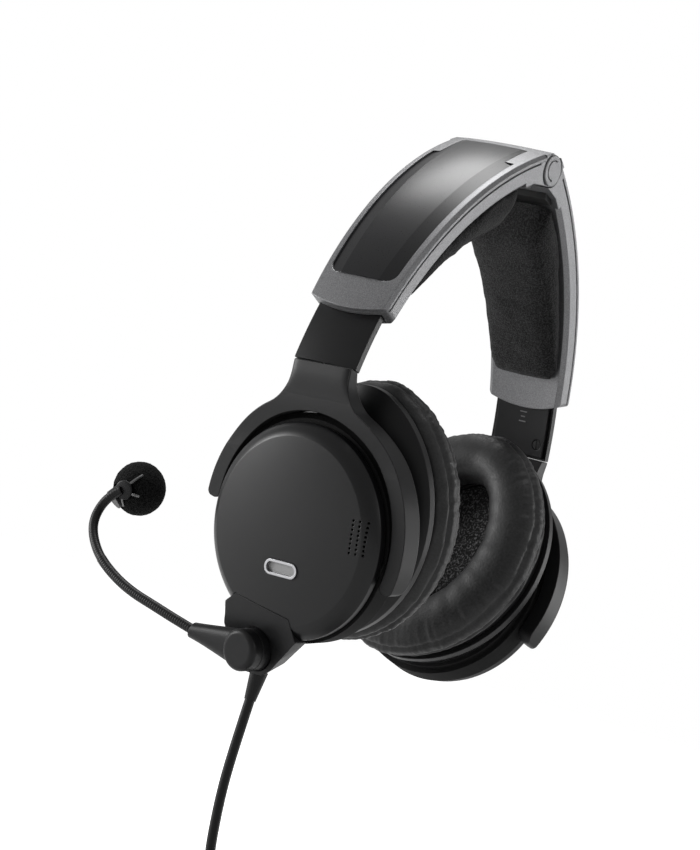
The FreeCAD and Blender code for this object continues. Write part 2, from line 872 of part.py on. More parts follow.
def in_front(level):
    """Everything in front of a level, as a large block."""
    return Part.makeBox(far, far, far / 2, Vector(-far / 2, -far / 2, level))


def behind(level):
    """Everything behind a level, as a large block."""
    return Part.makeBox(far, far, far / 2, Vector(-far / 2, -far / 2, level - far / 2))


def cup_housing():
    body = housing_body(0)
    front = -dome_skirt - 0.1
    body = body.common(behind(front))
    hollow = housing_body(waist_wall)
    hollow = hollow.fuse(oval_prism(flange_half_height - waist_wall, flange_half_width - waist_wall,
                                    flange_back - 1, flange_front))
    hollow = hollow.common(behind(front - waist_wall))
    body = in_cup(canted_about_pivot(body.cut(hollow)))
    for side in (-1, 1):
        boss = pivot_cylinder(pivot_boss_radius, waist_radius - pivot_inside, waist_radius - 0.5, side)
        bore = pivot_cylinder(pivot_radius + pivot_fit, waist_radius - pivot_inside - 1, waist_radius + 2,
                              side)
        body = body.fuse(in_cup(canted_about_pivot(boss)))
        body = body.cut(in_cup(canted_about_pivot(bore)))
    return body.removeSplitter()


def baffle():
    half_height = flange_half_height - waist_wall - baffle_gap
    half_width = flange_half_width - waist_wall - baffle_gap
    body = oval_prism(half_height, half_width, flange_back, flange_back + baffle_thickness)
    seat = Part.makeCylinder(driver_radius + baffle_gap, 10,
                             Vector(pad_centre_rear, pad_centre_rise, flange_back - 1))
    return in_cup(canted_about_pivot(body.cut(seat)))


def driver():
    at = Vector(pad_centre_rear, pad_centre_rise, flange_back)
    body = Part.makeCylinder(driver_radius, driver_depth, at)
    body = body.fuse(Part.makeCylinder(magnet_radius, magnet_depth, at + Vector(0, 0, driver_depth)))
    cone = Part.makeCone(driver_radius - 3, 6, 2.4, at - Vector(0, 0, 0.01))
    body = body.cut(cone)
    return in_cup(canted_about_pivot(body))


def noise_board():
    body = Part.makeBox(2 * board_half_width, 2 * board_half_length, board_thickness,
                        Vector(-board_half_width, -board_half_length, board_depth))
    return in_cup(canted_about_pivot(body))


def cushion_ring():
    front = flange_back - cushion_gap
    back = front - ring_thickness
    outer = oval_prism(flange_half_height - ring_inset, flange_half_width - ring_inset, back, front)
    inner = oval_prism(opening_half_height + 2.5, opening_half_width + 2.5, back - 1, front + 1)
    return in_cup(canted_about_pivot(outer.cut(inner)))


cushion_front = flange_back - cushion_gap - ring_thickness
cushion_half_height = flange_half_height + cushion_over_height
cushion_half_width = flange_half_width + cushion_over_width


def cushion_levels(outer):
    depth = cushion_front - cushion_back
    if outer:
        return [
            (cushion_front, cushion_half_height - 4.6, cushion_half_width - 4.6),
            (cushion_front - depth * 0.18, cushion_half_height - 0.9, cushion_half_width - 0.9),
            (cushion_front - depth * 0.42, cushion_half_height, cushion_half_width),
            (cushion_front - depth * 0.72, cushion_half_height - 1.6, cushion_half_width - 1.6),
            (cushion_front - depth * 0.92, cushion_half_height - 5.6, cushion_half_width - 5.6),
            (cushion_back, cushion_half_height - 10.2, cushion_half_width - 10.2),
        ]
    return [
        (cushion_front + 0.01, opening_half_height + 3.0, opening_half_width + 3.0),
        (cushion_front - depth * 0.25, opening_half_height + 0.6, opening_half_width + 0.6),
        (cushion_front - depth * 0.55, opening_half_height, opening_half_width),
        (cushion_front - depth * 0.85, opening_half_height + 2.2, opening_half_width + 2.2),
        (cushion_back - 0.01, opening_half_height + 6.4, opening_half_width + 6.4),
    ]


def ear_cushion():
    body = oval_loft(cushion_levels(True)).cut(oval_loft(cushion_levels(False)))
    return in_cup(canted_about_pivot(body))


def ear_liner():
    front = flange_back - cushion_gap
    body = oval_prism(opening_half_height + 2.2, opening_half_width + 2.2, front - liner_thickness, front)
    return in_cup(canted_about_pivot(body))


def boom_block():
    """A plate let into the dome whose lower part wraps the cup and carries the barrel."""
    envelope_edge = fork_outer + 12
    profile = [
        Vector(0, 0, -12), Vector(envelope_edge, 0, -12), Vector(envelope_edge, 0, 2.4),
        Vector(dome_bevel_radius, 0, dome_bevel_height - 0.1),
        Vector(dome_bevel_radius * 0.5, 0, dome_crown - 0.6), Vector(0, 0, dome_crown),
    ]
    envelope = Part.Face(Part.makePolygon(profile + profile[:1])).revolve(ORIGIN, Vector(0, 0, 1), 360)
    body = envelope.common(block_prism(0, -12, 20))
    clearance = Part.makeCylinder(waist_radius + block_clearance, 40, Vector(0, 0, -40 - dome_skirt - 0.05))
    body = body.cut(canted_about_pivot(clearance))
    body = body.cut(dome_solid(dome_wall, -10).common(behind(20)))
    recess = Part.makeCylinder(barrel_radius + barrel_fit, 30, Vector(boom_s, boom_w, boom_base_depth))
    pin_hole = Part.makeCylinder(barrel_pin_radius + 0.1, 30, Vector(boom_s, boom_w, boom_base_depth - 6))
    body = body.cut(recess).cut(pin_hole)
    return in_cup(body)


def boom_barrel():
    low = boom_base_depth + barrel_fit
    body = Part.makeCylinder(barrel_radius, barrel_top - low, Vector(boom_s, boom_w, low))
    body = body.fuse(Part.makeCylinder(barrel_pin_radius, 6, Vector(boom_s, boom_w, low - 5.5)))
    return in_cup(body)


# The gooseneck's route from the lever's tip to the microphone, as (s, w, n) from the barrel
gooseneck_offsets = [
    Vector(-27.0, 1.9, 11.0),
    Vector(-36.1, 4.2, 12.0),
    Vector(-47.5, 7.4, 13.2),
    Vector(-59.9, 10.5, 14.0),
    Vector(-71.5, 15.0, 13.7),
    Vector(-81.7, 20.6, 12.4),
    Vector(-89.1, 27.0, 9.8),
    Vector(-92.8, 33.0, 6.4),
    Vector(-93.5, 38.0, 2.2),
    Vector(-91.9, 41.6, -1.8),
]
boom_place = Vector(boom_s, boom_w, 0)
gooseneck_route = [boom_place + offset for offset in gooseneck_offsets]


def lever_section(centre, along, half_height, half_depth):
    side = along.cross(Vector(0, 0, 1))
    side.normalize()
    deep = side.cross(along)
    deep.normalize()
    points = []
    for angle in range(0, 360, 45):
        points.append(centre + side * (half_height * cosine(angle)) + deep * (half_depth * sine(angle)))
    curve = Part.BSplineCurve()
    curve.interpolate(points, PeriodicFlag=True)
    return Part.Wire([curve.toShape()])


def boom_lever():
    head = Part.makeCylinder(lever_head_radius, lever_thickness, Vector(boom_s, boom_w, barrel_top))
    head = head.makeFillet(lever_edge, [edge for edge in head.Edges if edge.BoundBox.ZMin > barrel_top + 1])
    start = Vector(boom_s - 1.0, boom_w + 0.3, barrel_top + lever_thickness / 2)
    tip = gooseneck_route[0]
    along = tip - start
    onward = gooseneck_route[1] - tip
    sections = []
    for share, height, depth in ((0.0, 7.4, 2.5), (0.3, 6.2, 2.7), (0.7, 4.4, 3.0)):
        sections.append(lever_section(start + along * share, along, height, depth))
    sections.append(lever_section(tip, onward, lever_tip_radius, lever_tip_radius))
    return in_cup(Part.makeLoft(sections, True).fuse(head))


def smooth_path(points):
    """Straight runs joined by tangent arcs, each as large as its two runs allow."""
    edges = []
    radii = []
    start = points[0]
    for before, corner, after in zip(points, points[1:], points[2:]):
        back = before - corner
        ahead = after - corner
        shorter = min(back.Length, ahead.Length)
        cut = 0.45 * shorter
        back.normalize()
        ahead.normalize()
        turn = math.pi - math.acos(max(-1.0, min(1.0, back.dot(ahead))))
        first = corner + back * cut
        last = corner + ahead * cut
        radius = cut / math.tan(turn / 2)
        bisector = back + ahead
        bisector.normalize()
        middle = corner + bisector * (radius / math.cos(turn / 2) - radius)
        if (first - start).Length > 1e-6:
            edges.append(Part.makeLine(start, first))
        edges.append(Part.Arc(first, middle, last).toShape())
        radii.append(radius)
        start = last
    edges.append(Part.makeLine(start, points[-1]))
    return Part.Wire(edges), radii


def tube(points, radius, name):
    path, radii = smooth_path(points)
    first = points[1] - points[0]
    profile = Part.Wire([Part.makeCircle(radius, points[0], first)])
    body = path.makePipeShell([profile], True)
    expected = math.pi * radius * radius * path.Length
    print(name, "radii", [round(value, 1) for value in radii], "length", round(path.Length, 1),
          "volume ratio", round(body.Volume / expected, 4))
    return body


def gooseneck():
    return in_cup(tube(gooseneck_route, gooseneck_radius, "gooseneck"))


mic_at = gooseneck_route[-1]
mic_axis = gooseneck_route[-1] - gooseneck_route[-2]
mic_axis.normalize()
windscreen_centre = boom_place + Vector(-87.9, 47.1, -12.0)


def mic_clamp():
    return in_cup(Part.makeCylinder(mic_clamp_radius, mic_clamp_length, mic_at, mic_axis))


def mic_capsule():
    start = mic_at + mic_axis * mic_clamp_length
    return in_cup(Part.makeCylinder(capsule_radius, capsule_length, start, mic_axis))


def windscreen():
    """A slightly egg-shaped foam ball with a pocket for the capsule and its clamp."""
    ball = Part.makeSphere(windscreen_radius, ORIGIN)
    stretch = Matrix()
    stretch.scale(1.0, 1.03, 1.0)
    ball = ball.transformGeometry(stretch)
    ball.translate(windscreen_centre)
    reach = mic_clamp_length + capsule_length + windscreen_fit
    pocket = Part.makeCylinder(capsule_radius + windscreen_fit, reach + 10, mic_at - mic_axis * 10, mic_axis)
    return in_cup(ball.cut(pocket))


def turned(shape, angle):
    """Turn a fork or cup piece about the upright swivel axis to where it stands."""
    shape = shape.copy()
    shape.rotate(swivel_point, swivel_down, -angle)
    return shape


def left_point(s, w, n):
    return turned(Part.Vertex(cup_point(n, w, s)), turn_left).Point


# The cord leaves the block through a tapered relief, hangs, and lies coiled below.
relief_top = left_point(relief_s, relief_w, relief_n)
relief_axis = Vector(0.0, -0.03, -1.0)
relief_axis.normalize()
relief_end = relief_top + relief_axis * relief_length


def cord_relief():
    above = 3.0
    slope = (relief_top_radius - relief_tip_radius) / relief_length
    body = Part.makeCone(relief_top_radius + slope * above, relief_tip_radius, relief_length + above,
                         relief_top - relief_axis * above, relief_axis)
    block = Part.makeBox(40, 20, 40, Vector(relief_s - 20, relief_w, relief_n - 20))
    return body.cut(turned(in_cup(block), turn_left))


def biarc(start, along, end, onward):
    """Two arcs from start to end that keep the given unit directions at both ends."""
    chord = end - start
    both = along + onward
    spare = 2.0 * (1.0 - along.dot(onward))
    reach = (math.sqrt(chord.dot(both) ** 2 + spare * chord.dot(chord)) - chord.dot(both)) / spare
    joint = (start + along * reach + end - onward * reach) * 0.5
    return [tangent_arc(start, along, joint), tangent_arc(end, onward * -1, joint, True)]


def tangent_arc(start, along, end, backward=False):
    chord = end - start
    half = chord.Length / 2
    unit = chord * (0.5 / half)
    across = along - unit * along.dot(unit)
    across.normalize()
    angle = math.acos(max(-1.0, min(1.0, along.dot(unit))))
    middle = (start + end) * 0.5 + across * (half * math.tan(angle / 2))
    if backward:
        return Part.Arc(end, middle, start).toShape()
    return Part.Arc(start, middle, end).toShape()


coil_start = 0.25
coil_turns = coil_layers * coil_turns_per_layer - 2 * coil_start
coil_inner = coil_mean_radius - coil_turns_per_layer * coil_pitch / 2
coil_outer = coil_mean_radius + coil_turns_per_layer * coil_pitch / 2
coil_base = surface_level + tie_thickness + tie_gap + cord_radius
coil_centre = Vector(relief_end.x + 0.8 - coil_outer + coil_pitch * coil_start, coil_rear, coil_base)


def coil_knot(turn):
    """A place on the coil and the direction there, with turn counted from the outside."""
    layer = int(turn // coil_turns_per_layer)
    within = turn - layer * coil_turns_per_layer
    inward = layer % 2 == 0
    radius = coil_outer - within * coil_pitch if inward else coil_inner + within * coil_pitch
    angle = 2 * math.pi * (turn - coil_start)
    rate = (-coil_pitch if inward else coil_pitch) / (2 * math.pi)
    out = Vector(math.cos(angle), math.sin(angle), 0)
    round_ = Vector(-math.sin(angle), math.cos(angle), 0)
    along = round_ * radius + out * rate
    along.normalize()
    return coil_centre + out * radius + Vector(0, 0, layer * coil_pitch), along


def coil_path():
    knots = []
    for half_turn in range(int(round(coil_turns * 2)) + 1):
        knots.append(coil_knot(coil_start + half_turn * 0.5))
    lead = 2 * cord_radius
    place, along = knots[0]
    edges = [Part.makeLine(place - along * lead, place)]
    for (start, along), (end, onward) in zip(knots, knots[1:]):
        edges += biarc(start, along, end, onward)
    place, along = knots[-1]
    edges.append(Part.makeLine(place, place + along * lead))
    return edges


def least_gap(edges, radius):
    """The least clear distance between turns, measured on points along the path."""
    points = []
    for edge in edges:
        points += edge.discretize(Distance=2.0)[:-1]
    least = 1e9
    apart = int(math.pi * coil_inner / 2.0)
    for index, point in enumerate(points):
        for other in points[index + apart:]:
            least = min(least, (point - other).Length)
    return least - 2 * radius


def cord_coil():
    edges = coil_path()
    path = Part.Wire(edges)
    first = edges[0].valueAt(edges[0].LastParameter) - edges[0].valueAt(edges[0].FirstParameter)
    profile = Part.Wire([Part.makeCircle(cord_radius, edges[0].valueAt(edges[0].FirstParameter), first)])
    body = path.makePipeShell([profile], True)
    expected = math.pi * cord_radius ** 2 * path.Length
    print("cord_coil length", round(path.Length, 1), "least gap", round(least_gap(edges, cord_radius), 3),
          "volume ratio", round(body.Volume / expected, 4))
    return body


coil_in, coil_in_along = coil_knot(coil_start)
coil_in = coil_in - coil_in_along * (2 * cord_radius)
coil_out, coil_out_along = coil_knot(coil_start + coil_turns)
coil_out = coil_out + coil_out_along * (2 * cord_radius)

cord_route = [
    relief_end,
    relief_end + relief_axis * 24.0,
    Vector(relief_end.x + 0.7, relief_end.y + 0.6, coil_base + 44.0),
    Vector(relief_end.x + 1.0, relief_end.y + 3.8, coil_base + 22.0),
    Vector(relief_end.x + 1.4, relief_end.y + 11.2, coil_base + 5.0),
    coil_in - coil_in_along * 17.0,
    coil_in,
]


def cord_run():
    return tube(cord_route, cord_radius, "cord_run")


plug_along = Vector(-0.34, -0.94, 0)
plug_along.normalize()
plug_height = surface_level + plug_grip_radius
tail_route = [
    coil_out,
    coil_out + coil_out_along * 12.0,
    coil_out + coil_out_along * 24.0 + Vector(-1.2, 0, -2.4),
    coil_out + coil_out_along * 36.0 + Vector(-4.0, 0, -6.2),
    Vector(coil_out.x - 8.0, coil_out.y - 47.0, plug_height),
]
tail_route.append(tail_route[-1] + plug_along * 11.0)


def cord_tail():
    return tube(tail_route, cord_radius, "cord_tail")


def cord_tie():
    """A strap round the coil, on the side away from the plug."""
    inner = coil_inner - cord_radius - tie_gap
    inner = inner - (inner - math.sqrt(inner ** 2 - (tie_width / 2) ** 2))
    outer = coil_outer + cord_radius + tie_gap
    low = surface_level + tie_thickness
    high = coil_base + (coil_layers - 1) * coil_pitch + cord_radius + tie_gap
    hole = Part.makeBox(tie_width, outer - inner, high - low,
                        Vector(coil_centre.x - tie_width / 2, coil_centre.y + inner, low))
    t = tie_thickness
    block = Part.makeBox(tie_width, outer - inner + 2 * t, high - low + 2 * t,
                         Vector(coil_centre.x - tie_width / 2, coil_centre.y + inner - t, low - t))
    edges = [edge for edge in block.Edges if edge.BoundBox.XLength > 1]
    hole_edges = [edge for edge in hole.Edges if edge.BoundBox.XLength > 1]
    return block.makeFillet(2.0 * t, edges).cut(hole.makeFillet(t, hole_edges))


def on_plug(shape, start):
    turn = Rotation(Vector(0, 0, 1), plug_along)
    shape.Placement = FreeCAD.Placement(tail_route[-1] + plug_along * start, turn)
    return shape


def turned_profile(points):
    vectors = [Vector(r, 0, z) for r, z in points]
    wire = Part.makePolygon(vectors + vectors[:1])
    return Part.Face(wire).revolve(ORIGIN, Vector(0, 0, 1), 360)


def plug_relief():
    r = relief_tip_radius
    length = plug_relief_length
    return on_plug(turned_profile([(0, 0), (r, 0), (plug_radius - 2.5, length), (0, length)]), 0)


def plug_body():
    """The connector: a grooved grip sleeve between a back nut and a keyed nose."""
    grip = plug_grip_radius
    points = [(0, 0), (plug_radius - 1.2, 0), (plug_radius - 1.2, 5), (plug_radius, 5.6), (plug_radius, 7)]
    groove = 0.7
    pitch = 2.0
    for index in range(grip_grooves):
        z = 7 + index * pitch
        points += [(grip, z), (grip, z + pitch - groove)]
        points += [(grip - groove, z + pitch - groove), (grip - groove, z + pitch)]
    z = 7 + grip_grooves * pitch
    nose = plug_radius - 1.5
    points += [(grip, z), (grip, z + 2), (nose, z + 3), (nose, plug_length), (nose - 1.2, plug_length),
               (nose - 1.2, plug_length - plug_socket_depth), (0, plug_length - plug_socket_depth)]
    body = turned_profile(points)
    key_at = Vector(nose - 2.2, -1.0, plug_length - plug_socket_depth)
    key = Part.makeBox(1.2, 2.0, plug_socket_depth, key_at)
    return on_plug(body.fuse(key).removeSplitter(), plug_relief_length)


def plug_contacts():
    pins = []
    length = plug_socket_depth - 1.5
    for index in range(contact_count):
        angle = 360.0 * index / contact_count + 30
        place = Vector(contact_circle * cosine(angle) - 0.2, contact_circle * sine(angle), 0)
        pins.append(Part.makeCylinder(contact_radius, length, place))
    return on_plug(Part.makeCompound(pins), plug_relief_length + plug_length - plug_socket_depth)


def hinge_pin():
    half = hinge_half_length
    return Part.makeCylinder(pin_radius, 2 * half, Vector(0, -half, hinge_height), Y_AXIS)


def hinge_caps():
    """Round caps over the barrel's ends, each with an open ring groove."""
    caps = []
    for side in (-1, 1):
        start = Vector(0, side * (hinge_half_length + 0.02), hinge_height)
        cap = Part.makeCylinder(cap_radius, cap_thickness, start, Vector(0, side, 0))
        face = start.y + side * cap_thickness
        rim = []
        for edge in cap.Edges:
            if abs(edge.BoundBox.YMin - face) < 0.01 and edge.BoundBox.YLength < 0.01:
                rim.append(edge)
        cap = cap.makeFillet(cap_edge, rim)
        inner = cap_groove_radius - cap_groove_width / 2
        section = Part.makePolygon([
            Vector(inner, face - side * cap_groove_depth, hinge_height),
            Vector(inner + cap_groove_width, face - side * cap_groove_depth, hinge_height),
            Vector(inner + cap_groove_width, face + side, hinge_height),
            Vector(inner, face + side, hinge_height),
            Vector(inner, face - side * cap_groove_depth, hinge_height),
        ])
        groove = Part.Face(section).revolve(Vector(0, 0, hinge_height), Y_AXIS, cap_groove_sweep)
        groove.rotate(Vector(0, 0, hinge_height), Y_AXIS, -cap_groove_sweep / 2)
        caps.append(cap.cut(groove))
    return Part.makeCompound(caps)


band_pieces = {
    "band_shell": band_shell(),
    "band_panel": band_panel(),
    "hinge_guard": hinge_guard(),
    "band_pad": band_pad(),
    "arm": arm(),
    "arm_liner": arm_liner(),
    "arm_screw": arm_screw(),
}
cup_pieces = {
    "fork": fork(),
    "pivot_pins": pivot_pins(),
    "cup_housing": cup_housing(),
    "port_bezel": port_bezel(),
    "port_mesh": port_mesh(),
    "baffle": baffle(),
    "driver": driver(),
    "noise_board": noise_board(),
    "cushion_ring": cushion_ring(),
    "ear_cushion": ear_cushion(),
    "ear_liner": ear_liner(),
}
boom_pieces = {
    "boom_block": boom_block(),
    "boom_barrel": boom_barrel(),
    "boom_lever": boom_lever(),
    "gooseneck": gooseneck(),
    "mic_clamp": mic_clamp(),
    "mic_capsule": mic_capsule(),
    "windscreen": windscreen(),
}
cord_pieces = {
    "cord_relief": cord_relief(),
    "cord_run": cord_run(),
    "cord_coil": cord_coil(),
    "cord_tie": cord_tie(),
    "cord_tail": cord_tail(),
    "plug_relief": plug_relief(),
    "plug_body": plug_body(),
    "plug_contacts": plug_contacts(),
}

to_right = Vector(1, 0, 0)
nodes = {
    "band_frame_left": band_frame(True),
    "band_frame_right": band_frame(False).mirror(ORIGIN, to_right),
    "cup_cover_left": turned(cup_cover(True), turn_left),
    "cup_cover_right": turned(cup_cover(False), turn_right).mirror(ORIGIN, to_right),
    "hinge_pin": hinge_pin(),
    "hinge_caps": hinge_caps(),
}
for name, shape in band_pieces.items():
    nodes[name + "_left"] = shape
    nodes[name + "_right"] = shape.mirror(ORIGIN, to_right)
for name, shape in cup_pieces.items():
    nodes[name + "_left"] = turned(shape, turn_left)
    nodes[name + "_right"] = turned(shape, turn_right).mirror(ORIGIN, to_right)
for name, shape in boom_pieces.items():
    nodes[name] = turned(shape, turn_left)
nodes.update(cord_pieces)

on_cord = ("cord_run", "cord_coil", "cord_tail")
paths = [smooth_path(cord_route)[0], Part.Wire(coil_path()), smooth_path(tail_route)[0]]
print("cord total", round(sum(path.Length for path in paths), 1), "of", cord_total)

os.makedirs("parts", exist_ok=True)
for name, shape in nodes.items():
    solid = shape.Solids[0] if len(shape.Solids) == 1 else Part.makeCompound(shape.Solids)
    solid.exportStep("parts/" + name + ".step")
print(len(nodes), "pieces")
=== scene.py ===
import math

import bmesh
import bpy
from mathutils import Matrix, Vector, noise


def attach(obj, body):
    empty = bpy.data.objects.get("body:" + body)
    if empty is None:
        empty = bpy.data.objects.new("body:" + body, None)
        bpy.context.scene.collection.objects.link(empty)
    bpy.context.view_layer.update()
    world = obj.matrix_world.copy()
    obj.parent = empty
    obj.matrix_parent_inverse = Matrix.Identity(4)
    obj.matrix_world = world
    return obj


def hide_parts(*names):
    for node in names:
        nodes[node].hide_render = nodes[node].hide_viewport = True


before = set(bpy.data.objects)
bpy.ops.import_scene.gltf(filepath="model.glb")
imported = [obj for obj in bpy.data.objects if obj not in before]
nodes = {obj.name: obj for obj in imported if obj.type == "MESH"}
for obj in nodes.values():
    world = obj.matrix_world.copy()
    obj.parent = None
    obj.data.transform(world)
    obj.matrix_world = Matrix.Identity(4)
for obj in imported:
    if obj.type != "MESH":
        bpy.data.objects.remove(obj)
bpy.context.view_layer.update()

# Studio: the camera stands a metre off, to the rear of the wearer's left, a little below the
# middle of the cups. A pale floor lies just under the coiled cord, with soft lamps round it.
scene = bpy.context.scene
scene.view_settings.view_transform = "Standard"

camera_spot = (0.8602, 0.5171, -0.1792)
camera_data = bpy.data.cameras.new("studio_camera")
camera_data.lens = 104.35
camera_data.sensor_width = 36.0
camera_data.clip_start = 0.02
camera_data.clip_end = 60.0
camera = bpy.data.objects.new("studio_camera", camera_data)
scene.collection.objects.link(camera)
camera_right = Vector((-0.4984, 0.8174, 0.2887)).normalized()
camera_back = Vector((0.8391, 0.5386, -0.0764)).normalized()
camera_up = camera_back.cross(camera_right).normalized()
camera_right = camera_up.cross(camera_back)
camera_turn = Matrix((camera_right, camera_up, camera_back)).transposed()
camera.matrix_world = Matrix.Translation(camera_spot) @ camera_turn.to_4x4()
scene.camera = camera


def new_material(name, colour, roughness, metallic=0.0, specular=0.5):
    """A material and its shader. Black plastics have a specular level below the usual 0.5."""
    material = bpy.data.materials.new(name)
    material.use_nodes = True
    shader = material.node_tree.nodes["Principled BSDF"]
    shader.inputs["Base Color"].default_value = (*colour, 1)
    shader.inputs["Roughness"].default_value = roughness
    shader.inputs["Metallic"].default_value = metallic
    shader.inputs["Specular IOR Level"].default_value = specular
    return material, shader


def reckon(tree, kind, operation, *values):
    """A Math or Vector Math node, fed in order with other nodes' outputs or plain values."""
    node = tree.nodes.new(kind)
    node.operation = operation
    for value, socket in zip(values, node.inputs):
        if isinstance(value, bpy.types.NodeSocket):
            tree.links.new(value, socket)
        else:
            socket.default_value = value
    return node


def ranged(tree, source, low, high, begin=0.0, end=1.0, ease="LINEAR"):
    """An output that goes from low to high while the source goes from begin to end."""
    span = tree.nodes.new("ShaderNodeMapRange")
    span.interpolation_type = ease
    span.inputs["From Min"].default_value = begin
    span.inputs["From Max"].default_value = end
    span.inputs["To Min"].default_value = low
    span.inputs["To Max"].default_value = high
    tree.links.new(source, span.inputs["Value"])
    return span.outputs["Result"]


reflected_level = 0.45


def camera_rays(tree):
    """1 for what the camera sees directly or through glass, and less for reflections."""
    path = tree.nodes.new("ShaderNodeLightPath")
    glossy = path.outputs["Is Glossy Ray"]
    reflected = reckon(tree, "ShaderNodeMath", "MULTIPLY", glossy, reflected_level)
    seen = path.outputs["Is Camera Ray"]
    for ray in (reflected.outputs[0], path.outputs["Is Transmission Ray"]):
        seen = reckon(tree, "ShaderNodeMath", "MAXIMUM", seen, ray).outputs[0]
    return seen


floor_height = -0.3088
floor_drop = 0.0002
floor_size = 24.0
near_reach, far_reach = 0.15, 0.9
near_level, far_level = 0.66, 1.0
bpy.ops.mesh.primitive_plane_add(size=floor_size, location=(0, 0, floor_height - floor_drop))
floor = bpy.context.object
floor.name = "studio_floor"
floor_paint, floor_shader = new_material("studio_floor", (0.86, 0.86, 0.86), 0.9)
floor_tree = floor_paint.node_tree
floor_place = floor_tree.nodes.new("ShaderNodeTexCoord").outputs["Object"]
floor_reach = reckon(floor_tree, "ShaderNodeVectorMath", "LENGTH", floor_place)
floor_level = ranged(
    floor_tree, floor_reach.outputs["Value"], near_level, far_level, near_reach, far_reach
)
floor_glow = reckon(
    floor_tree, "ShaderNodeMath", "MULTIPLY", camera_rays(floor_tree), floor_level
)
floor_tree.links.new(floor_glow.outputs[0], floor_shader.inputs["Emission Strength"])
floor_shader.inputs["Emission Color"].default_value = (1, 1, 1, 1)
floor.data.materials.append(floor_paint)

world_light, world_seen = 0.125, 1.0
world = bpy.data.worlds.new("studio_world")
scene.world = world
world.use_nodes = True
world_tree = world.node_tree
world_back = world_tree.nodes["Background"]
world_back.inputs["Color"].default_value = (1, 1, 1, 1)
world_level = ranged(world_tree, camera_rays(world_tree), world_light, world_seen)
world_tree.links.new(world_level, world_back.inputs["Strength"])


def soft_lamp(name, place, aim, width, height, power):
    """A rectangular lamp, in metres and watts, that the camera doesn't see."""
    data = bpy.data.lights.new(name, "AREA")
    data.shape = "RECTANGLE"
    data.size = width
    data.size_y = height
    data.energy = power
    lamp = bpy.data.objects.new(name, data)
    scene.collection.objects.link(lamp)
    lamp.location = place
    lamp.rotation_euler = (Vector(aim) - Vector(place)).to_track_quat("-Z", "Y").to_euler()
    lamp.visible_camera = False


soft_lamp("lamp_overhead", (-0.09, -0.28, 1.01), (0, 0, -0.05), width=0.42, height=0.8, power=11)
soft_lamp("lamp_front", (0.57, -1.05, 0.04), (0.07, 0, -0.15), width=0.36, height=0.45, power=10)
soft_lamp("lamp_rear", (-1.08, 0.78, 0.1), (0, 0, -0.12), width=0.3, height=0.8, power=5)
soft_lamp("lamp_side", (0.25, 1.25, 0.5), (0.03, 0, -0.1), width=0.5, height=0.5, power=2)

# Cord: one rubber-jacketed lead, 4 mm thick and a metre and a half long. It hangs from the
# left cup, turns onto the surface and is coiled there, tied, with its plug beside it.
cord_radius = 0.002
tie_thickness = 0.0012
tie_gap = 0.0005
coil_pitch = 0.0047
coil_mean = 0.0223
coil_layers = 4
coil_layer_turns = 2.5
coil_start = 0.25
coil_rear = 0.042
coil_ahead = 0.0008
coil_climb_turns = 0.5
coil_steps_per_turn = 18
coil_inner = coil_mean - coil_layer_turns * coil_pitch / 2
coil_outer = coil_mean + coil_layer_turns * coil_pitch / 2
coil_base = floor_height + tie_thickness + tie_gap + cord_radius
relief_end = Vector((0.058168, -0.005174, -0.219049))
coil_middle = relief_end.x + coil_ahead - coil_outer + coil_pitch * coil_start
coil_centre = Vector((coil_middle, coil_rear, coil_base))

hanging_points = [
    relief_end,
    relief_end + Vector((0, -0.00072, -0.02399)),
    Vector((relief_end.x + 0.0007, relief_end.y + 0.0006, coil_base + 0.044)),
    Vector((relief_end.x + 0.0010, relief_end.y + 0.0038, coil_base + 0.022)),
    Vector((relief_end.x + 0.0014, relief_end.y + 0.0112, coil_base + 0.005)),
]


def coil_point(turn):
    """A point of the coil, whose layers wind in and out by turns with a short climb between."""
    layer = min(int(turn // coil_layer_turns), coil_layers - 1)
    within = turn - layer * coil_layer_turns
    radius = coil_outer - within * coil_pitch
    if layer % 2 == 1:
        radius = coil_inner + within * coil_pitch
    height = layer * coil_pitch
    for climb in range(1, coil_layers):
        gone = (turn - climb * coil_layer_turns) / coil_climb_turns + 0.5
        if 0 < gone < 1:
            smooth = gone * gone * (3 - 2 * gone)
            height = (climb - 1 + smooth) * coil_pitch
    angle = 2 * math.pi * (turn - coil_start)
    return coil_centre + Vector((radius * math.cos(angle), radius * math.sin(angle), height))


coil_turns = coil_layers * coil_layer_turns - 2 * coil_start
coil_steps = int(coil_turns * coil_steps_per_turn)
coil_points = [
    coil_point(coil_start + coil_turns * step / coil_steps) for step in range(coil_steps + 1)
]
lead_in = coil_points[0] + Vector((0, -2 * cord_radius, 0))
lead_points = [lead_in + Vector((0, -0.017, 0)), lead_in]

plug_along = Vector((-0.34, -0.94, 0)).normalized()
plug_height = floor_height + 0.0084
tail_start = coil_points[-1]
tail_points = [
    tail_start + Vector((0, -2 * cord_radius, 0)),
    tail_start + Vector((0, -0.016, 0)),
    tail_start + Vector((-0.0012, -0.028, -0.0024)),
    tail_start + Vector((-0.0040, -0.040, -0.0062)),
    Vector((tail_start.x - 0.008, tail_start.y - 0.051, plug_height)),
]
tail_points.append(tail_points[-1] + plug_along * 0.011)


def smooth_line(name, points, steps):
    """A NURBS curve that begins at the first point, ends at the last and rounds the others."""
    curve = bpy.data.curves.new(name, "CURVE")
    curve.dimensions = "3D"
    curve.resolution_u = steps
    spline = curve.splines.new("NURBS")
    spline.points.add(len(points) - 1)
    for point, place in zip(spline.points, points):
        point.co = (*place, 1)
    spline.order_u = 3
    spline.use_endpoint_u = True
    line = bpy.data.objects.new(name, curve)
    scene.collection.objects.link(line)
    return line


cord = smooth_line("cord", hanging_points + lead_points + coil_points + tail_points, 6)
cord.data.bevel_depth = cord_radius
cord.data.bevel_resolution = 5


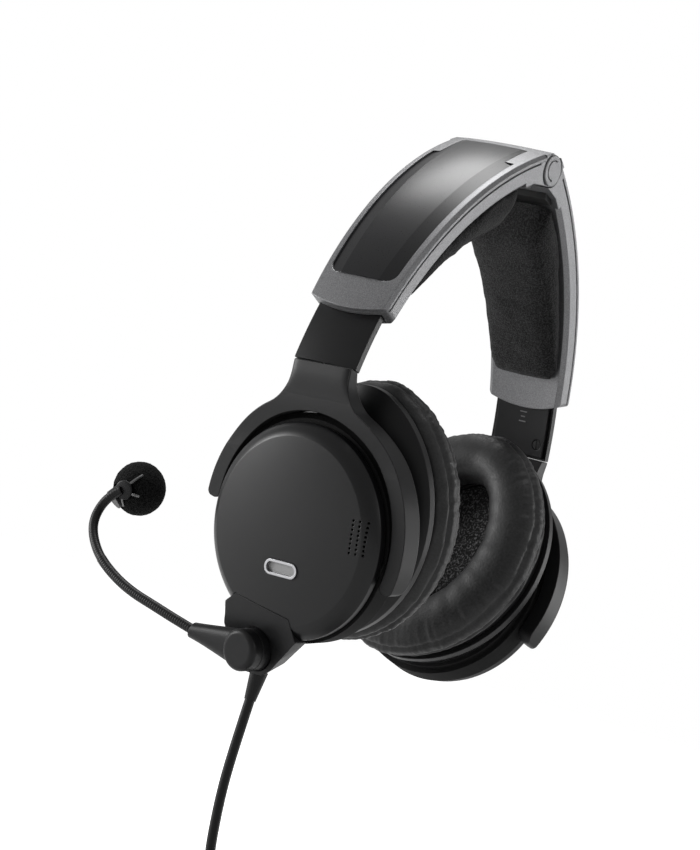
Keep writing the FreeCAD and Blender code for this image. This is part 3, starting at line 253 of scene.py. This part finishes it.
def fine_bump(material, shader, size, strength, distance=0.0002, detail=6.0, edge=0.0):
    """Small random relief, with features about size across, and edges that catch the light.
    It returns the noise, for a colour or a gloss that follows the relief."""
    tree = material.node_tree
    place = tree.nodes.new("ShaderNodeTexCoord")
    grain = tree.nodes.new("ShaderNodeTexNoise")
    grain.inputs["Scale"].default_value = 1.0 / size
    grain.inputs["Detail"].default_value = detail
    bump = tree.nodes.new("ShaderNodeBump")
    bump.inputs["Strength"].default_value = strength
    bump.inputs["Distance"].default_value = distance
    tree.links.new(place.outputs["Object"], grain.inputs["Vector"])
    tree.links.new(grain.outputs["Fac"], bump.inputs["Height"])
    tree.links.new(bump.outputs["Normal"], shader.inputs["Normal"])
    if edge > 0:
        worn = tree.nodes.new("ShaderNodeBevel")
        worn.samples = 6
        worn.inputs["Radius"].default_value = edge
        tree.links.new(worn.outputs["Normal"], bump.inputs["Normal"])
    return grain.outputs["Fac"]


noise_low, noise_high = 0.3, 0.7


def vary_gloss(material, shader, grain, low, high):
    """Roughness from low to high with the noise."""
    rough = ranged(material.node_tree, grain, low, high, noise_low, noise_high)
    material.node_tree.links.new(rough, shader.inputs["Roughness"])


def tint(material, shader, grain, dark, light, low=0.35, high=0.65):
    """Colour between two tones with the noise."""
    tree = material.node_tree
    ramp = tree.nodes.new("ShaderNodeValToRGB")
    ramp.color_ramp.elements[0].position = low
    ramp.color_ramp.elements[0].color = (*dark, 1)
    ramp.color_ramp.elements[1].position = high
    ramp.color_ramp.elements[1].color = (*light, 1)
    tree.links.new(grain, ramp.inputs["Fac"])
    tree.links.new(ramp.outputs["Color"], shader.inputs["Base Color"])


rubber, rubber_shader = new_material("cord_rubber", (0.006, 0.006, 0.0063), 0.42, specular=0.2)
grain = fine_bump(rubber, rubber_shader, 0.0006, 0.12)
vary_gloss(rubber, rubber_shader, grain, 0.36, 0.52)
cord.data.materials.append(rubber)
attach(cord, "cup_left")
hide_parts("cord_run", "cord_coil", "cord_tail")


def dress(names, material):
    """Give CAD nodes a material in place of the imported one."""
    for name in names:
        mesh = nodes[name].data
        mesh.materials.clear()
        mesh.materials.append(material)


dress(["cord_relief", "plug_relief"], rubber)
tie_cloth, tie_shader = new_material("tie_cloth", (0.02, 0.02, 0.021), 0.9)
tie_shader.inputs["Sheen Weight"].default_value = 0.3
grain = fine_bump(tie_cloth, tie_shader, 0.0005, 0.6, 0.0004)
tint(tie_cloth, tie_shader, grain, (0.01, 0.01, 0.01), (0.035, 0.035, 0.037))
dress(["cord_tie"], tie_cloth)
plug_metal, plug_shader = new_material("plug_metal", (0.42, 0.42, 0.43), 0.28, 1.0)
grain = fine_bump(plug_metal, plug_shader, 0.0004, 0.08)
vary_gloss(plug_metal, plug_shader, grain, 0.22, 0.38)
dress(["plug_body"], plug_metal)
gold, gold_shader = new_material("contact_gold", (0.78, 0.56, 0.2), 0.22, 1.0)
fine_bump(gold, gold_shader, 0.0004, 0.05)
dress(["plug_contacts"], gold)

# Band: two moulded halves in a gray textured metallic paint, hinged at the crown by a steel
# pin, each with a satin black panel let into its outer face and dark guards under the hinge.
gray_paint, gray_shader = new_material("gray_paint", (0.17, 0.17, 0.175), 0.42, 0.6)
grain = fine_bump(gray_paint, gray_shader, 0.0004, 0.22, 0.0002, 3.0, 0.0006)
tint(gray_paint, gray_shader, grain, (0.13, 0.131, 0.135), (0.22, 0.22, 0.226), 0.38, 0.66)
vary_gloss(gray_paint, gray_shader, grain, 0.38, 0.5)
dress(["band_frame_left", "band_frame_right"], gray_paint)
dress(["band_shell_left", "band_shell_right", "hinge_caps"], gray_paint)

satin_black, satin_shader = new_material("satin_black", (0.010, 0.010, 0.011), 0.3, specular=0.26)
grain = fine_bump(satin_black, satin_shader, 0.0004, 0.04, edge=0.0003)
vary_gloss(satin_black, satin_shader, grain, 0.27, 0.35)
dress(["band_panel_left", "band_panel_right"], satin_black)

guard_plastic, guard_shader = new_material("guard_plastic", (0.014,) * 3, 0.5, specular=0.3)
fine_bump(guard_plastic, guard_shader, 0.0004, 0.1, edge=0.0005)
dress(["hinge_guard_left", "hinge_guard_right"], guard_plastic)

steel, steel_shader = new_material("pin_steel", (0.5, 0.5, 0.5), 0.3, 1.0)
fine_bump(steel, steel_shader, 0.0005, 0.06)
dress(["hinge_pin", "pivot_pins_left", "pivot_pins_right"], steel)

# Arms and forks: thin satin black metal blades slide in the band, each with a plastic cover
# on its inner face that one screw holds and ticks mark for the fit. Forks turn on their ends
# and carry the cups, and a low collar on each fork's face covers the pin that it turns on.
arm_colour = (0.008, 0.008, 0.0085)
arm_grain = 0.00035
arm_black, arm_shader = new_material("arm_black", arm_colour, 0.36, specular=0.2)
grain = fine_bump(arm_black, arm_shader, arm_grain, 0.06, edge=0.0006)
vary_gloss(arm_black, arm_shader, grain, 0.32, 0.42)
dress(["arm_left", "arm_right", "arm_liner_left", "arm_liner_right"], arm_black)
screw_steel, screw_shader = new_material("screw_steel", (0.05, 0.05, 0.05), 0.35, 1.0)
fine_bump(screw_steel, screw_shader, 0.0004, 0.1)
dress(["arm_screw_left", "arm_screw_right"], screw_steel)

mark_gray, mark_shader = new_material("mark_gray", (0.12, 0.12, 0.12), 0.6)
fine_bump(mark_gray, mark_shader, 0.0003, 0.1)
arch_radius = 0.1608
arch_centre = Vector((-0.069043, 0, -0.11476))
liner_face = arch_radius - 0.0087
mark_count = 5
first_mark_angle, mark_pitch = 71.2, 0.8
mark_width, mark_height = 0.00055, 0.00022
long_mark, short_mark = 0.0034, 0.0021
mark_bevel = 0.00008
mark_sink = 0.00003
for side, sign in (("left", 1), ("right", -1)):
    for mark in range(mark_count):
        angle = math.radians(first_mark_angle + mark_pitch * mark)
        out = Vector((math.sin(angle), 0, math.cos(angle)))
        mark_length = long_mark if mark % 2 == 0 else short_mark
        bpy.ops.object.select_all(action="DESELECT")
        bpy.ops.mesh.primitive_cube_add(size=1.0)
        tick = bpy.context.object
        tick.name = "fit_mark_%s_%d" % (side, mark + 1)
        bpy.ops.object.mode_set(mode="EDIT")
        bpy.ops.transform.resize(value=(mark_width, mark_length, mark_height))
        bpy.ops.mesh.bevel(offset=mark_bevel, segments=2)
        bpy.ops.object.mode_set(mode="OBJECT")
        turn = Matrix.Rotation(angle, 4, "Y")
        seat = arch_centre + out * (liner_face - mark_sink)
        tick.data.transform(Matrix.Translation(seat) @ turn)
        tick.data.transform(Matrix.Scale(sign, 4, (1, 0, 0)))
        if sign < 0:
            tick.data.flip_normals()
        tick.data.materials.append(mark_gray)
        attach(tick, "arm_" + side)

swivel = Vector((0.083451, 0, -0.088145))
swivel_down = Vector((0.171929, 0, -0.985109))
swivel_turn = {"left": 6.8, "right": -5.0}
cup_lean = math.radians(12.5)
cup_inward, cup_drop = 0.01135, 0.06365
cup_cant = 13.0
pivot_rise = 0.0025


def cup_place(side, cant_angle=cup_cant):
    """Where a cup stands: from metres to the rear, up and outward, to the frame."""
    stand = Matrix(
        (
            (0, math.sin(cup_lean), math.cos(cup_lean), swivel.x - cup_inward),
            (1, 0, 0, 0),
            (0, math.cos(cup_lean), -math.sin(cup_lean), swivel.z - cup_drop),
            (0, 0, 0, 1),
        )
    )
    pivot = Matrix.Translation((0, pivot_rise, 0))
    cant = pivot @ Matrix.Rotation(math.radians(-cant_angle), 4, "Z") @ pivot.inverted()
    about = Matrix.Translation(swivel)
    swing = Matrix.Rotation(math.radians(swivel_turn[side]), 4, swivel_down)
    whole = about @ swing @ about.inverted() @ stand @ cant
    if side == "right":
        whole = Matrix.Scale(-1, 4, (1, 0, 0)) @ whole
    return whole


def paint_shade(material, shader, share, black, satin, dull):
    """Blend a shader into painted shade, a deeper and duller black, by a share from 0 to 1."""
    tree = material.node_tree
    colour = tree.nodes.new("ShaderNodeMix")
    colour.data_type = "RGBA"
    # The node's two colours are inputs 6 and 7, and the blended one is output 2.
    colour.inputs[6].default_value = shader.inputs["Base Color"].default_value
    colour.inputs[7].default_value = (*black, 1)
    tree.links.new(share, colour.inputs[0])
    tree.links.new(colour.outputs[2], shader.inputs["Base Color"])
    tree.links.new(ranged(tree, share, satin, dull), shader.inputs["Roughness"])


fork_ring_rise = 0.0019
fork_inner = 0.0442


def paint_inner_wall_shade(material, shader, side):
    """Painted shade, an unlit black, on the fork's faces round the cup, told by their reach from
    its axis.
    """
    tree = material.node_tree
    stand = cup_place(side)
    middle = stand @ Vector((0, fork_ring_rise, 0))
    axis = (stand.to_3x3() @ Vector((0, 0, 1))).normalized()
    place = tree.nodes.new("ShaderNodeTexCoord").outputs["Object"]
    offset = reckon(tree, "ShaderNodeVectorMath", "SUBTRACT", place, middle).outputs["Vector"]
    sideways = reckon(tree, "ShaderNodeVectorMath", "CROSS_PRODUCT", offset, axis)
    reach = reckon(tree, "ShaderNodeVectorMath", "LENGTH", sideways.outputs["Vector"])
    begin, end = fork_inner + 0.0003, fork_inner + 0.0001
    wall_shade = ranged(tree, reach.outputs["Value"], 0.0, 1.0, begin, end)
    paint_shade(material, shader, wall_shade, (0.001, 0.001, 0.001), 0.37, 1.0)


def stem_face(up):
    """How far out the face of a fork's stem stands, at a height over the cup's axis."""
    fall = max(0.0, (up - 0.052) * 1000)
    return 0.00017 - 0.00006 * fall - 0.0000035 * fall**2


collar_black, collar_shader = new_material("collar_black", arm_colour, 0.37, specular=0.2)
fine_bump(collar_black, collar_shader, arm_grain, 0.06)
collar_middle, collar_length = 0.0570, 0.0152
collar_top, collar_fade = 0.0612, 0.0116
collar_rise, collar_sink, collar_root = 0.00098, 0.00004, 0.0002
collar_skin = 0.00008
collar_side_gap = 0.00012
shoulder_top, shoulder_radius, shoulder_reach = 0.0611, 0.016, 0.0302
bore_half, bore_begin = 0.0024, 0.0575
for side in ("left", "right"):
    fork_black, fork_shader = new_material("fork_black_" + side, arm_colour, 0.37, specular=0.2)
    fine_bump(fork_black, fork_shader, arm_grain, 0.06, edge=0.0006)
    # The fork's faces round the cup get painted shade.
    paint_inner_wall_shade(fork_black, fork_shader, side)
    dress(["fork_" + side], fork_black)
    bpy.ops.object.select_all(action="DESELECT")
    bpy.ops.mesh.primitive_grid_add(x_subdivisions=40, y_subdivisions=40, size=1.0)
    collar = bpy.context.object
    collar.name = "fork_collar_" + side
    for vertex in collar.data.vertices:
        across, up = vertex.co.x * 2, collar_middle + vertex.co.y * collar_length
        below = max(0.0, shoulder_top - up)
        half = shoulder_reach - math.sqrt(shoulder_radius**2 - below**2) - collar_side_gap
        faded = min(1.0, max(0.0, collar_top - up) / collar_fade)
        rise = math.cos(faded * math.pi / 2) ** 2 * (1 - 0.5 * abs(across) ** 14)
        vertex.co = (across * half, up, stem_face(up) - collar_sink + collar_rise * rise)
    top_count = len(collar.data.vertices)
    thin = collar.modifiers.new("thin", "SOLIDIFY")
    thin.thickness = collar_skin
    thin.offset = -1
    bpy.ops.object.modifier_apply(modifier="thin")
    for top, under in zip(collar.data.vertices[:top_count], collar.data.vertices[top_count:]):
        over_bore = abs(top.co.x) < bore_half and top.co.y > bore_begin
        if not over_bore:
            sunk = stem_face(top.co.y) - collar_root
            under.co = (top.co.x, top.co.y, min(sunk, top.co.z - collar_skin))
    collar.data.transform(cup_place(side, 0.0))
    if side == "right":
        collar.data.flip_normals()
    bpy.ops.object.shade_smooth_by_angle(angle=math.radians(40))
    collar.data.materials.append(collar_black)
    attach(collar, "fork_" + side)

# Cups: round moulded housings with satin domed covers, left bare in the middle. Each cover has a
# metal microphone port with a fine mesh and a block of drilled holes. A thin black sheet of
# painted shade fills the upper part of the running gap between each housing's waist and its fork,
# and the recess round each waist is painted a deeper black as shade.
cup_black, cup_shader = new_material("cup_black", (0.008, 0.008, 0.0085), 0.40, specular=0.2)
grain = fine_bump(cup_black, cup_shader, 0.0004, 0.1, edge=0.0006)
vary_gloss(cup_black, cup_shader, grain, 0.34, 0.46)
for side in ("left", "right"):
    dress(["cushion_ring_" + side, "baffle_" + side, "driver_" + side], cup_black)
dome_black, dome_shader = new_material("dome_black", (0.005, 0.005, 0.0054), 0.34, specular=0.26)
grain = fine_bump(dome_black, dome_shader, 0.0004, 0.03, edge=0.0005)
vary_gloss(dome_black, dome_shader, grain, 0.31, 0.37)
dress(["cup_cover_left", "cup_cover_right"], dome_black)
bezel_metal, bezel_shader = new_material("bezel_metal", (0.36, 0.36, 0.37), 0.33, 1.0)
fine_bump(bezel_metal, bezel_shader, 0.0004, 0.08, edge=0.0003)
dress(["port_bezel_left", "port_bezel_right"], bezel_metal)
mesh_metal, mesh_shader = new_material("mesh_metal", (0.2, 0.2, 0.2), 0.45, 0.8)
fine_bump(mesh_metal, mesh_shader, 0.0004, 0.5)
dress(["port_mesh_left", "port_mesh_right"], mesh_metal)
board_green, board_shader = new_material("board_green", (0.01, 0.08, 0.03), 0.4)
fine_bump(board_green, board_shader, 0.0006, 0.3)
dress(["noise_board_left", "noise_board_right"], board_green)

# Depths along the cup's axis over which the painted shade round the housing's waist fades in.
recess_shade_begin, recess_shade_end = -0.0150, -0.0122


def paint_recess_shade(material, shader, side):
    """Painted shade, a deeper black, in the hollow round the housing, told by its depth along the
    cup's axis.
    """
    tree = material.node_tree
    place = tree.nodes.new("ShaderNodeTexCoord").outputs["Object"]
    inward = cup_place(side).inverted()
    along = reckon(tree, "ShaderNodeVectorMath", "DOT_PRODUCT", place, inward[2][:3])
    depth = reckon(tree, "ShaderNodeMath", "ADD", along.outputs["Value"], inward[2][3])
    recess_shade = ranged(tree, depth.outputs[0], 0.0, 1.0, recess_shade_begin, recess_shade_end, "SMOOTHSTEP")
    paint_shade(material, shader, recess_shade, (0.0015, 0.0015, 0.0015), 0.38, 0.85)


def faces_outward():
    """Turn all faces of the active piece outwards."""
    bpy.ops.object.mode_set(mode="EDIT")
    bpy.ops.mesh.select_all(action="SELECT")
    bpy.ops.mesh.normals_make_consistent(inside=False)
    bpy.ops.object.mode_set(mode="OBJECT")


housing_colour = (0.011, 0.011, 0.0115)
# Angle, radii and depths of the black sheet of painted shade in each waist's gap.
shade_sheet_sweep = 148
shade_sheet_inner, shade_sheet_outer = 0.0430, 0.0436
shade_sheet_front, shade_sheet_depth = -0.0030, 0.0072
for side in ("left", "right"):
    housing, housing_shader = new_material(
        "housing_black_" + side, housing_colour, 0.40, specular=0.2
    )
    fine_bump(housing, housing_shader, 0.0004, 0.1, edge=0.0006)
    # The housing's waist gets painted shade.
    paint_recess_shade(housing, housing_shader, side)
    dress(["cup_housing_" + side], housing)
    # The sheet is a matte black that paints the shade lying in the gap.
    shade_sheet_black, shade_sheet_shader = new_material("shade_sheet_black_" + side, (0.001,) * 3, 1.0, specular=0.1)
    fine_bump(shade_sheet_black, shade_sheet_shader, 0.0004, 0.2)
    bpy.ops.object.select_all(action="DESELECT")
    bpy.ops.mesh.primitive_grid_add(x_subdivisions=96, y_subdivisions=1, size=1.0)
    shade_sheet = bpy.context.object
    shade_sheet.name = "waist_shade_sheet_" + side
    for vertex in shade_sheet.data.vertices:
        angle = math.radians(90 + vertex.co.x * shade_sheet_sweep)
        by_fork = vertex.co.y > 0
        radius = shade_sheet_outer if by_fork else shade_sheet_inner
        rise = fork_ring_rise if by_fork else 0.0
        vertex.co = (radius * math.cos(angle), rise + radius * math.sin(angle), shade_sheet_front)
    thick = shade_sheet.modifiers.new("thick", "SOLIDIFY")
    thick.thickness = shade_sheet_depth
    thick.offset = 1
    bpy.ops.object.modifier_apply(modifier="thick")
    faces_outward()
    shade_sheet.data.transform(cup_place(side))
    if side == "right":
        shade_sheet.data.flip_normals()
    shade_sheet.data.materials.append(shade_sheet_black)
    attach(shade_sheet, "cup_" + side)

# Boom: a block under the left cup carries a turning barrel, a lever and a ribbed stem that
# bends. A collar at its end, with three wire prongs, holds a ball of open-cell foam over the
# small microphone.
stem_black, stem_shader = new_material("stem_black", (0.006, 0.006, 0.0063), 0.42, specular=0.2)
fine_bump(stem_black, stem_shader, 0.0005, 0.35)
dress(["boom_barrel", "boom_lever", "mic_clamp"], cup_black)
dress(["mic_capsule"], steel)


def copy_node(name, new_name):
    """A welded copy of a CAD solid, for a reworked piece to start from."""
    bpy.ops.object.select_all(action="DESELECT")
    source = nodes[name]
    piece = source.copy()
    piece.data = source.data.copy()
    piece.parent = None
    piece.name = new_name
    for key in list(piece.keys()):
        del piece[key]
    piece.data.materials.clear()
    scene.collection.objects.link(piece)
    bpy.context.view_layer.objects.active = piece
    piece.select_set(True)
    bpy.ops.object.mode_set(mode="EDIT")
    bpy.ops.mesh.select_all(action="SELECT")
    bpy.ops.mesh.remove_doubles(threshold=0.00001)
    bpy.ops.object.mode_set(mode="OBJECT")
    return piece


boom_place = cup_place("left", 0.0)
block_back, trimmed_back = -0.008, -0.0042
block_top, block_front = -0.044, -0.0272
narrowed, shortened = 0.68, 0.72
mount = copy_node("boom_block", "boom_mount")
mount.data.transform(boom_place.inverted())
for vertex in mount.data.vertices:
    if vertex.co.z < block_back:
        vertex.co.z = trimmed_back
        vertex.co.x *= narrowed
        vertex.co.y = block_top + (vertex.co.y - block_top) * shortened
    vertex.co.x = max(vertex.co.x, block_front)
mount.data.transform(boom_place)
# The copy's own normals go, so that flats stay flat and fillets round on the trimmed shape.
bpy.ops.mesh.customdata_custom_splitnormals_clear()
bpy.ops.object.shade_smooth_by_angle(angle=math.radians(25))
evened = mount.modifiers.new("evened", "WEIGHTED_NORMAL")
evened.keep_sharp = True
bpy.ops.object.modifier_apply(modifier="evened")
mount.data.materials.append(cup_black)
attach(mount, "cup_left")
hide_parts("boom_block")

stem_radius = 0.00188
rib_pitch = 0.0011
rib_swell = 0.0017 / 0.0188
ribbed_share, plain_rib = 0.6, 0.35
# In millimetres to the rear, up and outward from the middle of the left cup.
stem_route = [
    (-36.5, -45.9, 11.0),
    (-45.6, -43.6, 12.0),
    (-57.0, -40.4, 13.2),
    (-69.4, -37.3, 14.0),
    (-81.0, -32.8, 13.7),
    (-91.2, -27.2, 12.4),
    (-98.6, -20.8, 9.8),
    (-102.3, -14.8, 7.2),
    (-102.6, -8.4, 3.6),
    (-98.8, -3.2, 1.6),
    (-95.6, -1.1, 0.1),
]
stem_points = [boom_place @ (Vector(point) / 1000) for point in stem_route]
stem_line = smooth_line("stem_path", stem_points, 24)
stem_length = stem_line.data.splines[0].calc_length()
rib_count = int(stem_length / rib_pitch)

bpy.ops.object.select_all(action="DESELECT")
bpy.ops.mesh.primitive_circle_add(vertices=20, radius=stem_radius, fill_type="NGON")
stem = bpy.context.object
stem.name = "stem"
bpy.ops.object.mode_set(mode="EDIT")
for rib in range(rib_count):
    raised = 1.0 if rib < rib_count * ribbed_share else plain_rib
    swell_out = 1 + rib_swell * raised
    for share, grow in ((0.3, swell_out), (0.4, 1.0), (0.3, 1 / swell_out)):
        step = (0, 0, stem_length / rib_count * share)
        bpy.ops.mesh.extrude_region_move(TRANSFORM_OT_translate={"value": step})
        bpy.ops.transform.resize(value=(grow, grow, 1))
bpy.ops.object.mode_set(mode="OBJECT")
faces_outward()
follow = stem.modifiers.new("follow", "CURVE")
follow.object = stem_line
follow.deform_axis = "POS_Z"
bpy.ops.object.modifier_apply(modifier="follow")
bpy.ops.object.shade_smooth_by_angle(angle=math.radians(60))
bpy.data.objects.remove(stem_line)
stem.data.materials.append(stem_black)
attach(stem, "boom")
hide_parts("gooseneck")

ball_centre = boom_place @ Vector((-0.0974, -0.0007, -0.0120))
clip_centre = boom_place @ Vector((-0.0950, -0.0008, -0.0010))
toward = (clip_centre - ball_centre).normalized()
clip_turn = toward.to_track_quat("Z", "Y").to_matrix().to_4x4()
bpy.ops.object.select_all(action="DESELECT")
bpy.ops.mesh.primitive_cylinder_add(vertices=48, radius=0.0040, depth=0.0026)
clip = bpy.context.object
clip.name = "clip_collar"
bpy.ops.object.mode_set(mode="EDIT")
bpy.ops.mesh.select_all(action="SELECT")
bpy.ops.mesh.bevel(offset=0.0007, segments=3)
bpy.ops.object.mode_set(mode="OBJECT")
clip.data.transform(Matrix.Translation(clip_centre) @ clip_turn)
bpy.ops.object.shade_smooth_by_angle(angle=math.radians(30))
clip.data.materials.append(cup_black)
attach(clip, "boom")

prong_metal, prong_shader = new_material("prong_metal", (0.16, 0.16, 0.16), 0.35, 1.0)
fine_bump(prong_metal, prong_shader, 0.0004, 0.1)
prong_radius = 0.00055
prong_ways = ((0.6, 0.8, 50), (0.95, -0.3, 34), (-0.2, -0.98, 40))
clip_right = (boom_place.to_3x3() @ Vector((0, 1, 0))).cross(toward).normalized()
clip_up = toward.cross(clip_right).normalized()
for number, (across, up, reach) in enumerate(prong_ways, 1):
    out = (clip_right * across + clip_up * up).normalized()
    prong_points = []
    for angle, away in ((14, 0.0122), (22, 0.0119), (reach * 0.75, 0.0113), (reach, 0.0110)):
        bend = math.radians(angle)
        prong_points.append(ball_centre + (toward * math.cos(bend) + out * math.sin(bend)) * away)
    prong = smooth_line("clip_prong_%d" % number, prong_points, 8)
    prong.data.bevel_depth = prong_radius
    prong.data.bevel_resolution = 3
    prong.data.use_fill_caps = True
    prong.data.materials.append(prong_metal)
    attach(prong, "boom")


def voxel_remesh(piece, size):
    """Even faces of one size all over a piece, shaded smooth."""
    remesh = piece.modifiers.new("remesh", "REMESH")
    remesh.mode = "VOXEL"
    remesh.voxel_size = size
    bpy.context.view_layer.objects.active = piece
    bpy.ops.object.modifier_apply(modifier="remesh")
    for polygon in piece.data.polygons:
        polygon.use_smooth = True


cells_per_metre = 900
cell_depth = 0.00014
foam_ball = copy_node("windscreen", "foam_ball")
voxel_remesh(foam_ball, 0.0005)
foam_bm = bmesh.new()
foam_bm.from_mesh(foam_ball.data)
foam_bm.normal_update()
for vertex in foam_bm.verts:
    cells = noise.fractal(vertex.co * cells_per_metre, 0.6, 2.2, 3)
    vertex.co += vertex.normal * cell_depth * cells
foam_bm.to_mesh(foam_ball.data)
foam_bm.free()
foam, foam_shader = new_material("windscreen_foam", (0.006, 0.006, 0.006), 0.95, specular=0.1)
grain = fine_bump(foam, foam_shader, 0.0007, 0.8, 0.0009, 3.0)
tint(foam, foam_shader, grain, (0.002, 0.002, 0.002), (0.016, 0.016, 0.016))
foam_ball.data.materials.append(foam)
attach(foam_ball, "boom")
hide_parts("windscreen")

# Head pads: foam pads covered in black napped cloth, one under each band half. The cloth is
# blown out by a cloth simulation and then drawn in along the seam round the pad's side.
suede, suede_shader = new_material("pad_suede", (0.008, 0.008, 0.009), 0.95, specular=0.15)
suede_shader.inputs["Sheen Weight"].default_value = 0.12
suede_shader.inputs["Sheen Roughness"].default_value = 0.5
grain = fine_bump(suede, suede_shader, 0.0006, 0.8, 0.0006, 4.0)
tint(suede, suede_shader, grain, (0.005, 0.005, 0.005), (0.042, 0.042, 0.043), 0.4, 0.7)

last_frame = 20


def swell(piece, voxel, pressure, cap, held):
    """Blow a pad out like cloth over foam, by the cap at most. Points where held(place) is 1
    stay sewn down."""
    voxel_remesh(piece, voxel)
    mesh = piece.data
    start = [vertex.co.copy() for vertex in mesh.vertices]
    cloth = piece.modifiers.new("cloth", "CLOTH")
    cloth.settings.quality = 5
    cloth.settings.mass = 0.3
    cloth.settings.tension_stiffness = 15
    cloth.settings.compression_stiffness = 15
    cloth.settings.bending_stiffness = 0.5
    cloth.settings.use_pressure = True
    cloth.settings.uniform_pressure_force = pressure
    cloth.settings.effector_weights.gravity = 0
    sewn = piece.vertex_groups.new(name="sewn")
    for vertex in mesh.vertices:
        weight = held(vertex.co)
        if weight > 0:
            sewn.add([vertex.index], weight, "REPLACE")
    cloth.settings.vertex_group_mass = "sewn"
    for frame_number in range(1, last_frame + 1):
        scene.frame_set(frame_number)
    puffed = piece.evaluated_get(bpy.context.evaluated_depsgraph_get())
    blown = [vertex.co.copy() for vertex in puffed.data.vertices]
    piece.modifiers.remove(cloth)
    scene.frame_set(1)
    for vertex, old, new in zip(mesh.vertices, start, blown):
        step = new - old
        if step.length > cap:
            step *= cap / step.length
        vertex.co = old + step
    piece.vertex_groups.clear()
    bpy.context.view_layer.objects.active = piece
    finer = piece.modifiers.new("finer", "SUBSURF")
    finer.levels = 2
    finer.render_levels = 2
    bpy.ops.object.modifier_apply(modifier="finer")
    for polygon in mesh.polygons:
        polygon.use_smooth = True


def bell(value, centre, width):
    """1 at the centre, and close to nothing two widths away."""
    return math.exp(-(((value - centre) / width) ** 2))


band_depth = 0.0102
pad_clearance = 0.0003
crown_diameter = 0.268
glued_depth = 0.0022
pad_seam_depth = 0.00055
band_inside = arch_radius - band_depth - pad_clearance
for side, sign in (("left", 1), ("right", -1)):
    pad = copy_node("band_pad_" + side, "head_pad_" + side)
    hub = Vector((arch_centre.x * sign, 0, arch_centre.z))

    def glued(point):
        reach = math.hypot(point.x - hub.x, point.z - hub.z)
        return 1.0 if reach > band_inside - point.y ** 2 / crown_diameter - glued_depth else 0.0

    swell(pad, 0.0032, 3.0, 0.0025, glued)
    normals = [vertex.normal.copy() for vertex in pad.data.vertices]
    for vertex, normal in zip(pad.data.vertices, normals):
        seam = bell(abs(normal.y), 0.72, 0.10)
        place = vertex.co.copy()
        crease = noise.noise(place * 90) * 0.0004 + noise.noise(place * 260) * 0.00015
        if glued(place):
            crease = 0
        vertex.co = place - normal * (pad_seam_depth * seam - crease * (1 - seam))
    pad.data.materials.append(suede)
    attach(pad, "band_" + side)
    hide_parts("band_pad_" + side)

# Ear cushions: foam rings in thin black leatherette. A flat strip is sewn to the carrier ring,
# a seam follows, and the loose face is gathered into it all the way round.
leather_colour = (0.016, 0.016, 0.0165)
leather, leather_shader = new_material("cushion_leather", leather_colour, 0.5, specular=0.3)
grain = fine_bump(leather, leather_shader, 0.0009, 0.4, 0.0003, 5.0)
tint(leather, leather_shader, grain, (0.012, 0.012, 0.012), (0.021, 0.021, 0.0215))
vary_gloss(leather, leather_shader, grain, 0.42, 0.58)
scrim, scrim_shader = new_material("ear_scrim", (0.02, 0.02, 0.02), 0.9, specular=0.15)
grain = fine_bump(scrim, scrim_shader, 0.0008, 0.6, 0.0003, 2.0)
tint(scrim, scrim_shader, grain, (0.009, 0.009, 0.009), (0.14, 0.14, 0.142), 0.48, 0.72)
dress(["ear_liner_left", "ear_liner_right"], scrim)

oval_rear, oval_rise = 0.0015, 0.009
gather_radius = 0.046
sewn_level, seam_level, loose_level = -0.0285, -0.0302, -0.0305
tuck_level, crown_level = -0.0363, -0.0395
seam_depth, tuck_depth = 0.0011, 0.0009


def sewn_down(point):
    return 1.0 if point.z > sewn_level else 0.0


for side in ("left", "right"):
    cushion = copy_node("ear_cushion_" + side, "cushion_" + side)
    stand = cup_place(side)
    cushion.data.transform(stand.inverted())
    if side == "right":
        cushion.data.flip_normals()
    swell(cushion, 0.0036, 4.0, 0.0022, sewn_down)
    mesh = cushion.data
    normals = [vertex.normal.copy() for vertex in mesh.vertices]
    for vertex, normal in zip(mesh.vertices, normals):
        point = vertex.co.copy()
        level = point.z
        across = Vector((point.x - oval_rear, point.y - oval_rise, 0))
        bearing = math.atan2(across.y, across.x)
        outward = normal.dot(across.normalized())
        on_side = max(0.0, min(1.0, (outward - 0.1) / 0.4))
        along = Vector((math.cos(bearing), math.sin(bearing), 0)) * gather_radius
        pleat = noise.noise(along * 520 + Vector((0, 0, level * 40)))
        fine_pleat = noise.noise(along * 980 + Vector((0, 0, level * 60)))
        fold = noise.noise(along * 130 + Vector((0, 0, level * 120)))
        wander = 0.0006 * noise.noise(along * 60)
        seam = bell(level, seam_level, 0.00075)
        tuck = bell(level + wander, tuck_level, 0.0011)
        loose = max(0.0, min(1.0, (loose_level - level) / 0.002))
        near_seam = loose * math.exp((level - loose_level) / 0.005)
        push = -seam_depth * seam - tuck_depth * tuck
        push += (0.00042 * pleat + 0.00026 * fine_pleat) * near_seam * 1.6
        push += (0.00035 * pleat + 0.0002 * fine_pleat) * bell(level, crown_level, 0.0035)
        vertex.co = point + normal * push * on_side + normal * 0.00035 * fold * loose
    mesh.transform(stand)
    if side == "right":
        mesh.flip_normals()
    mesh.materials.append(leather)
    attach(cushion, "cup_" + side)
    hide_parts("ear_cushion_" + side)
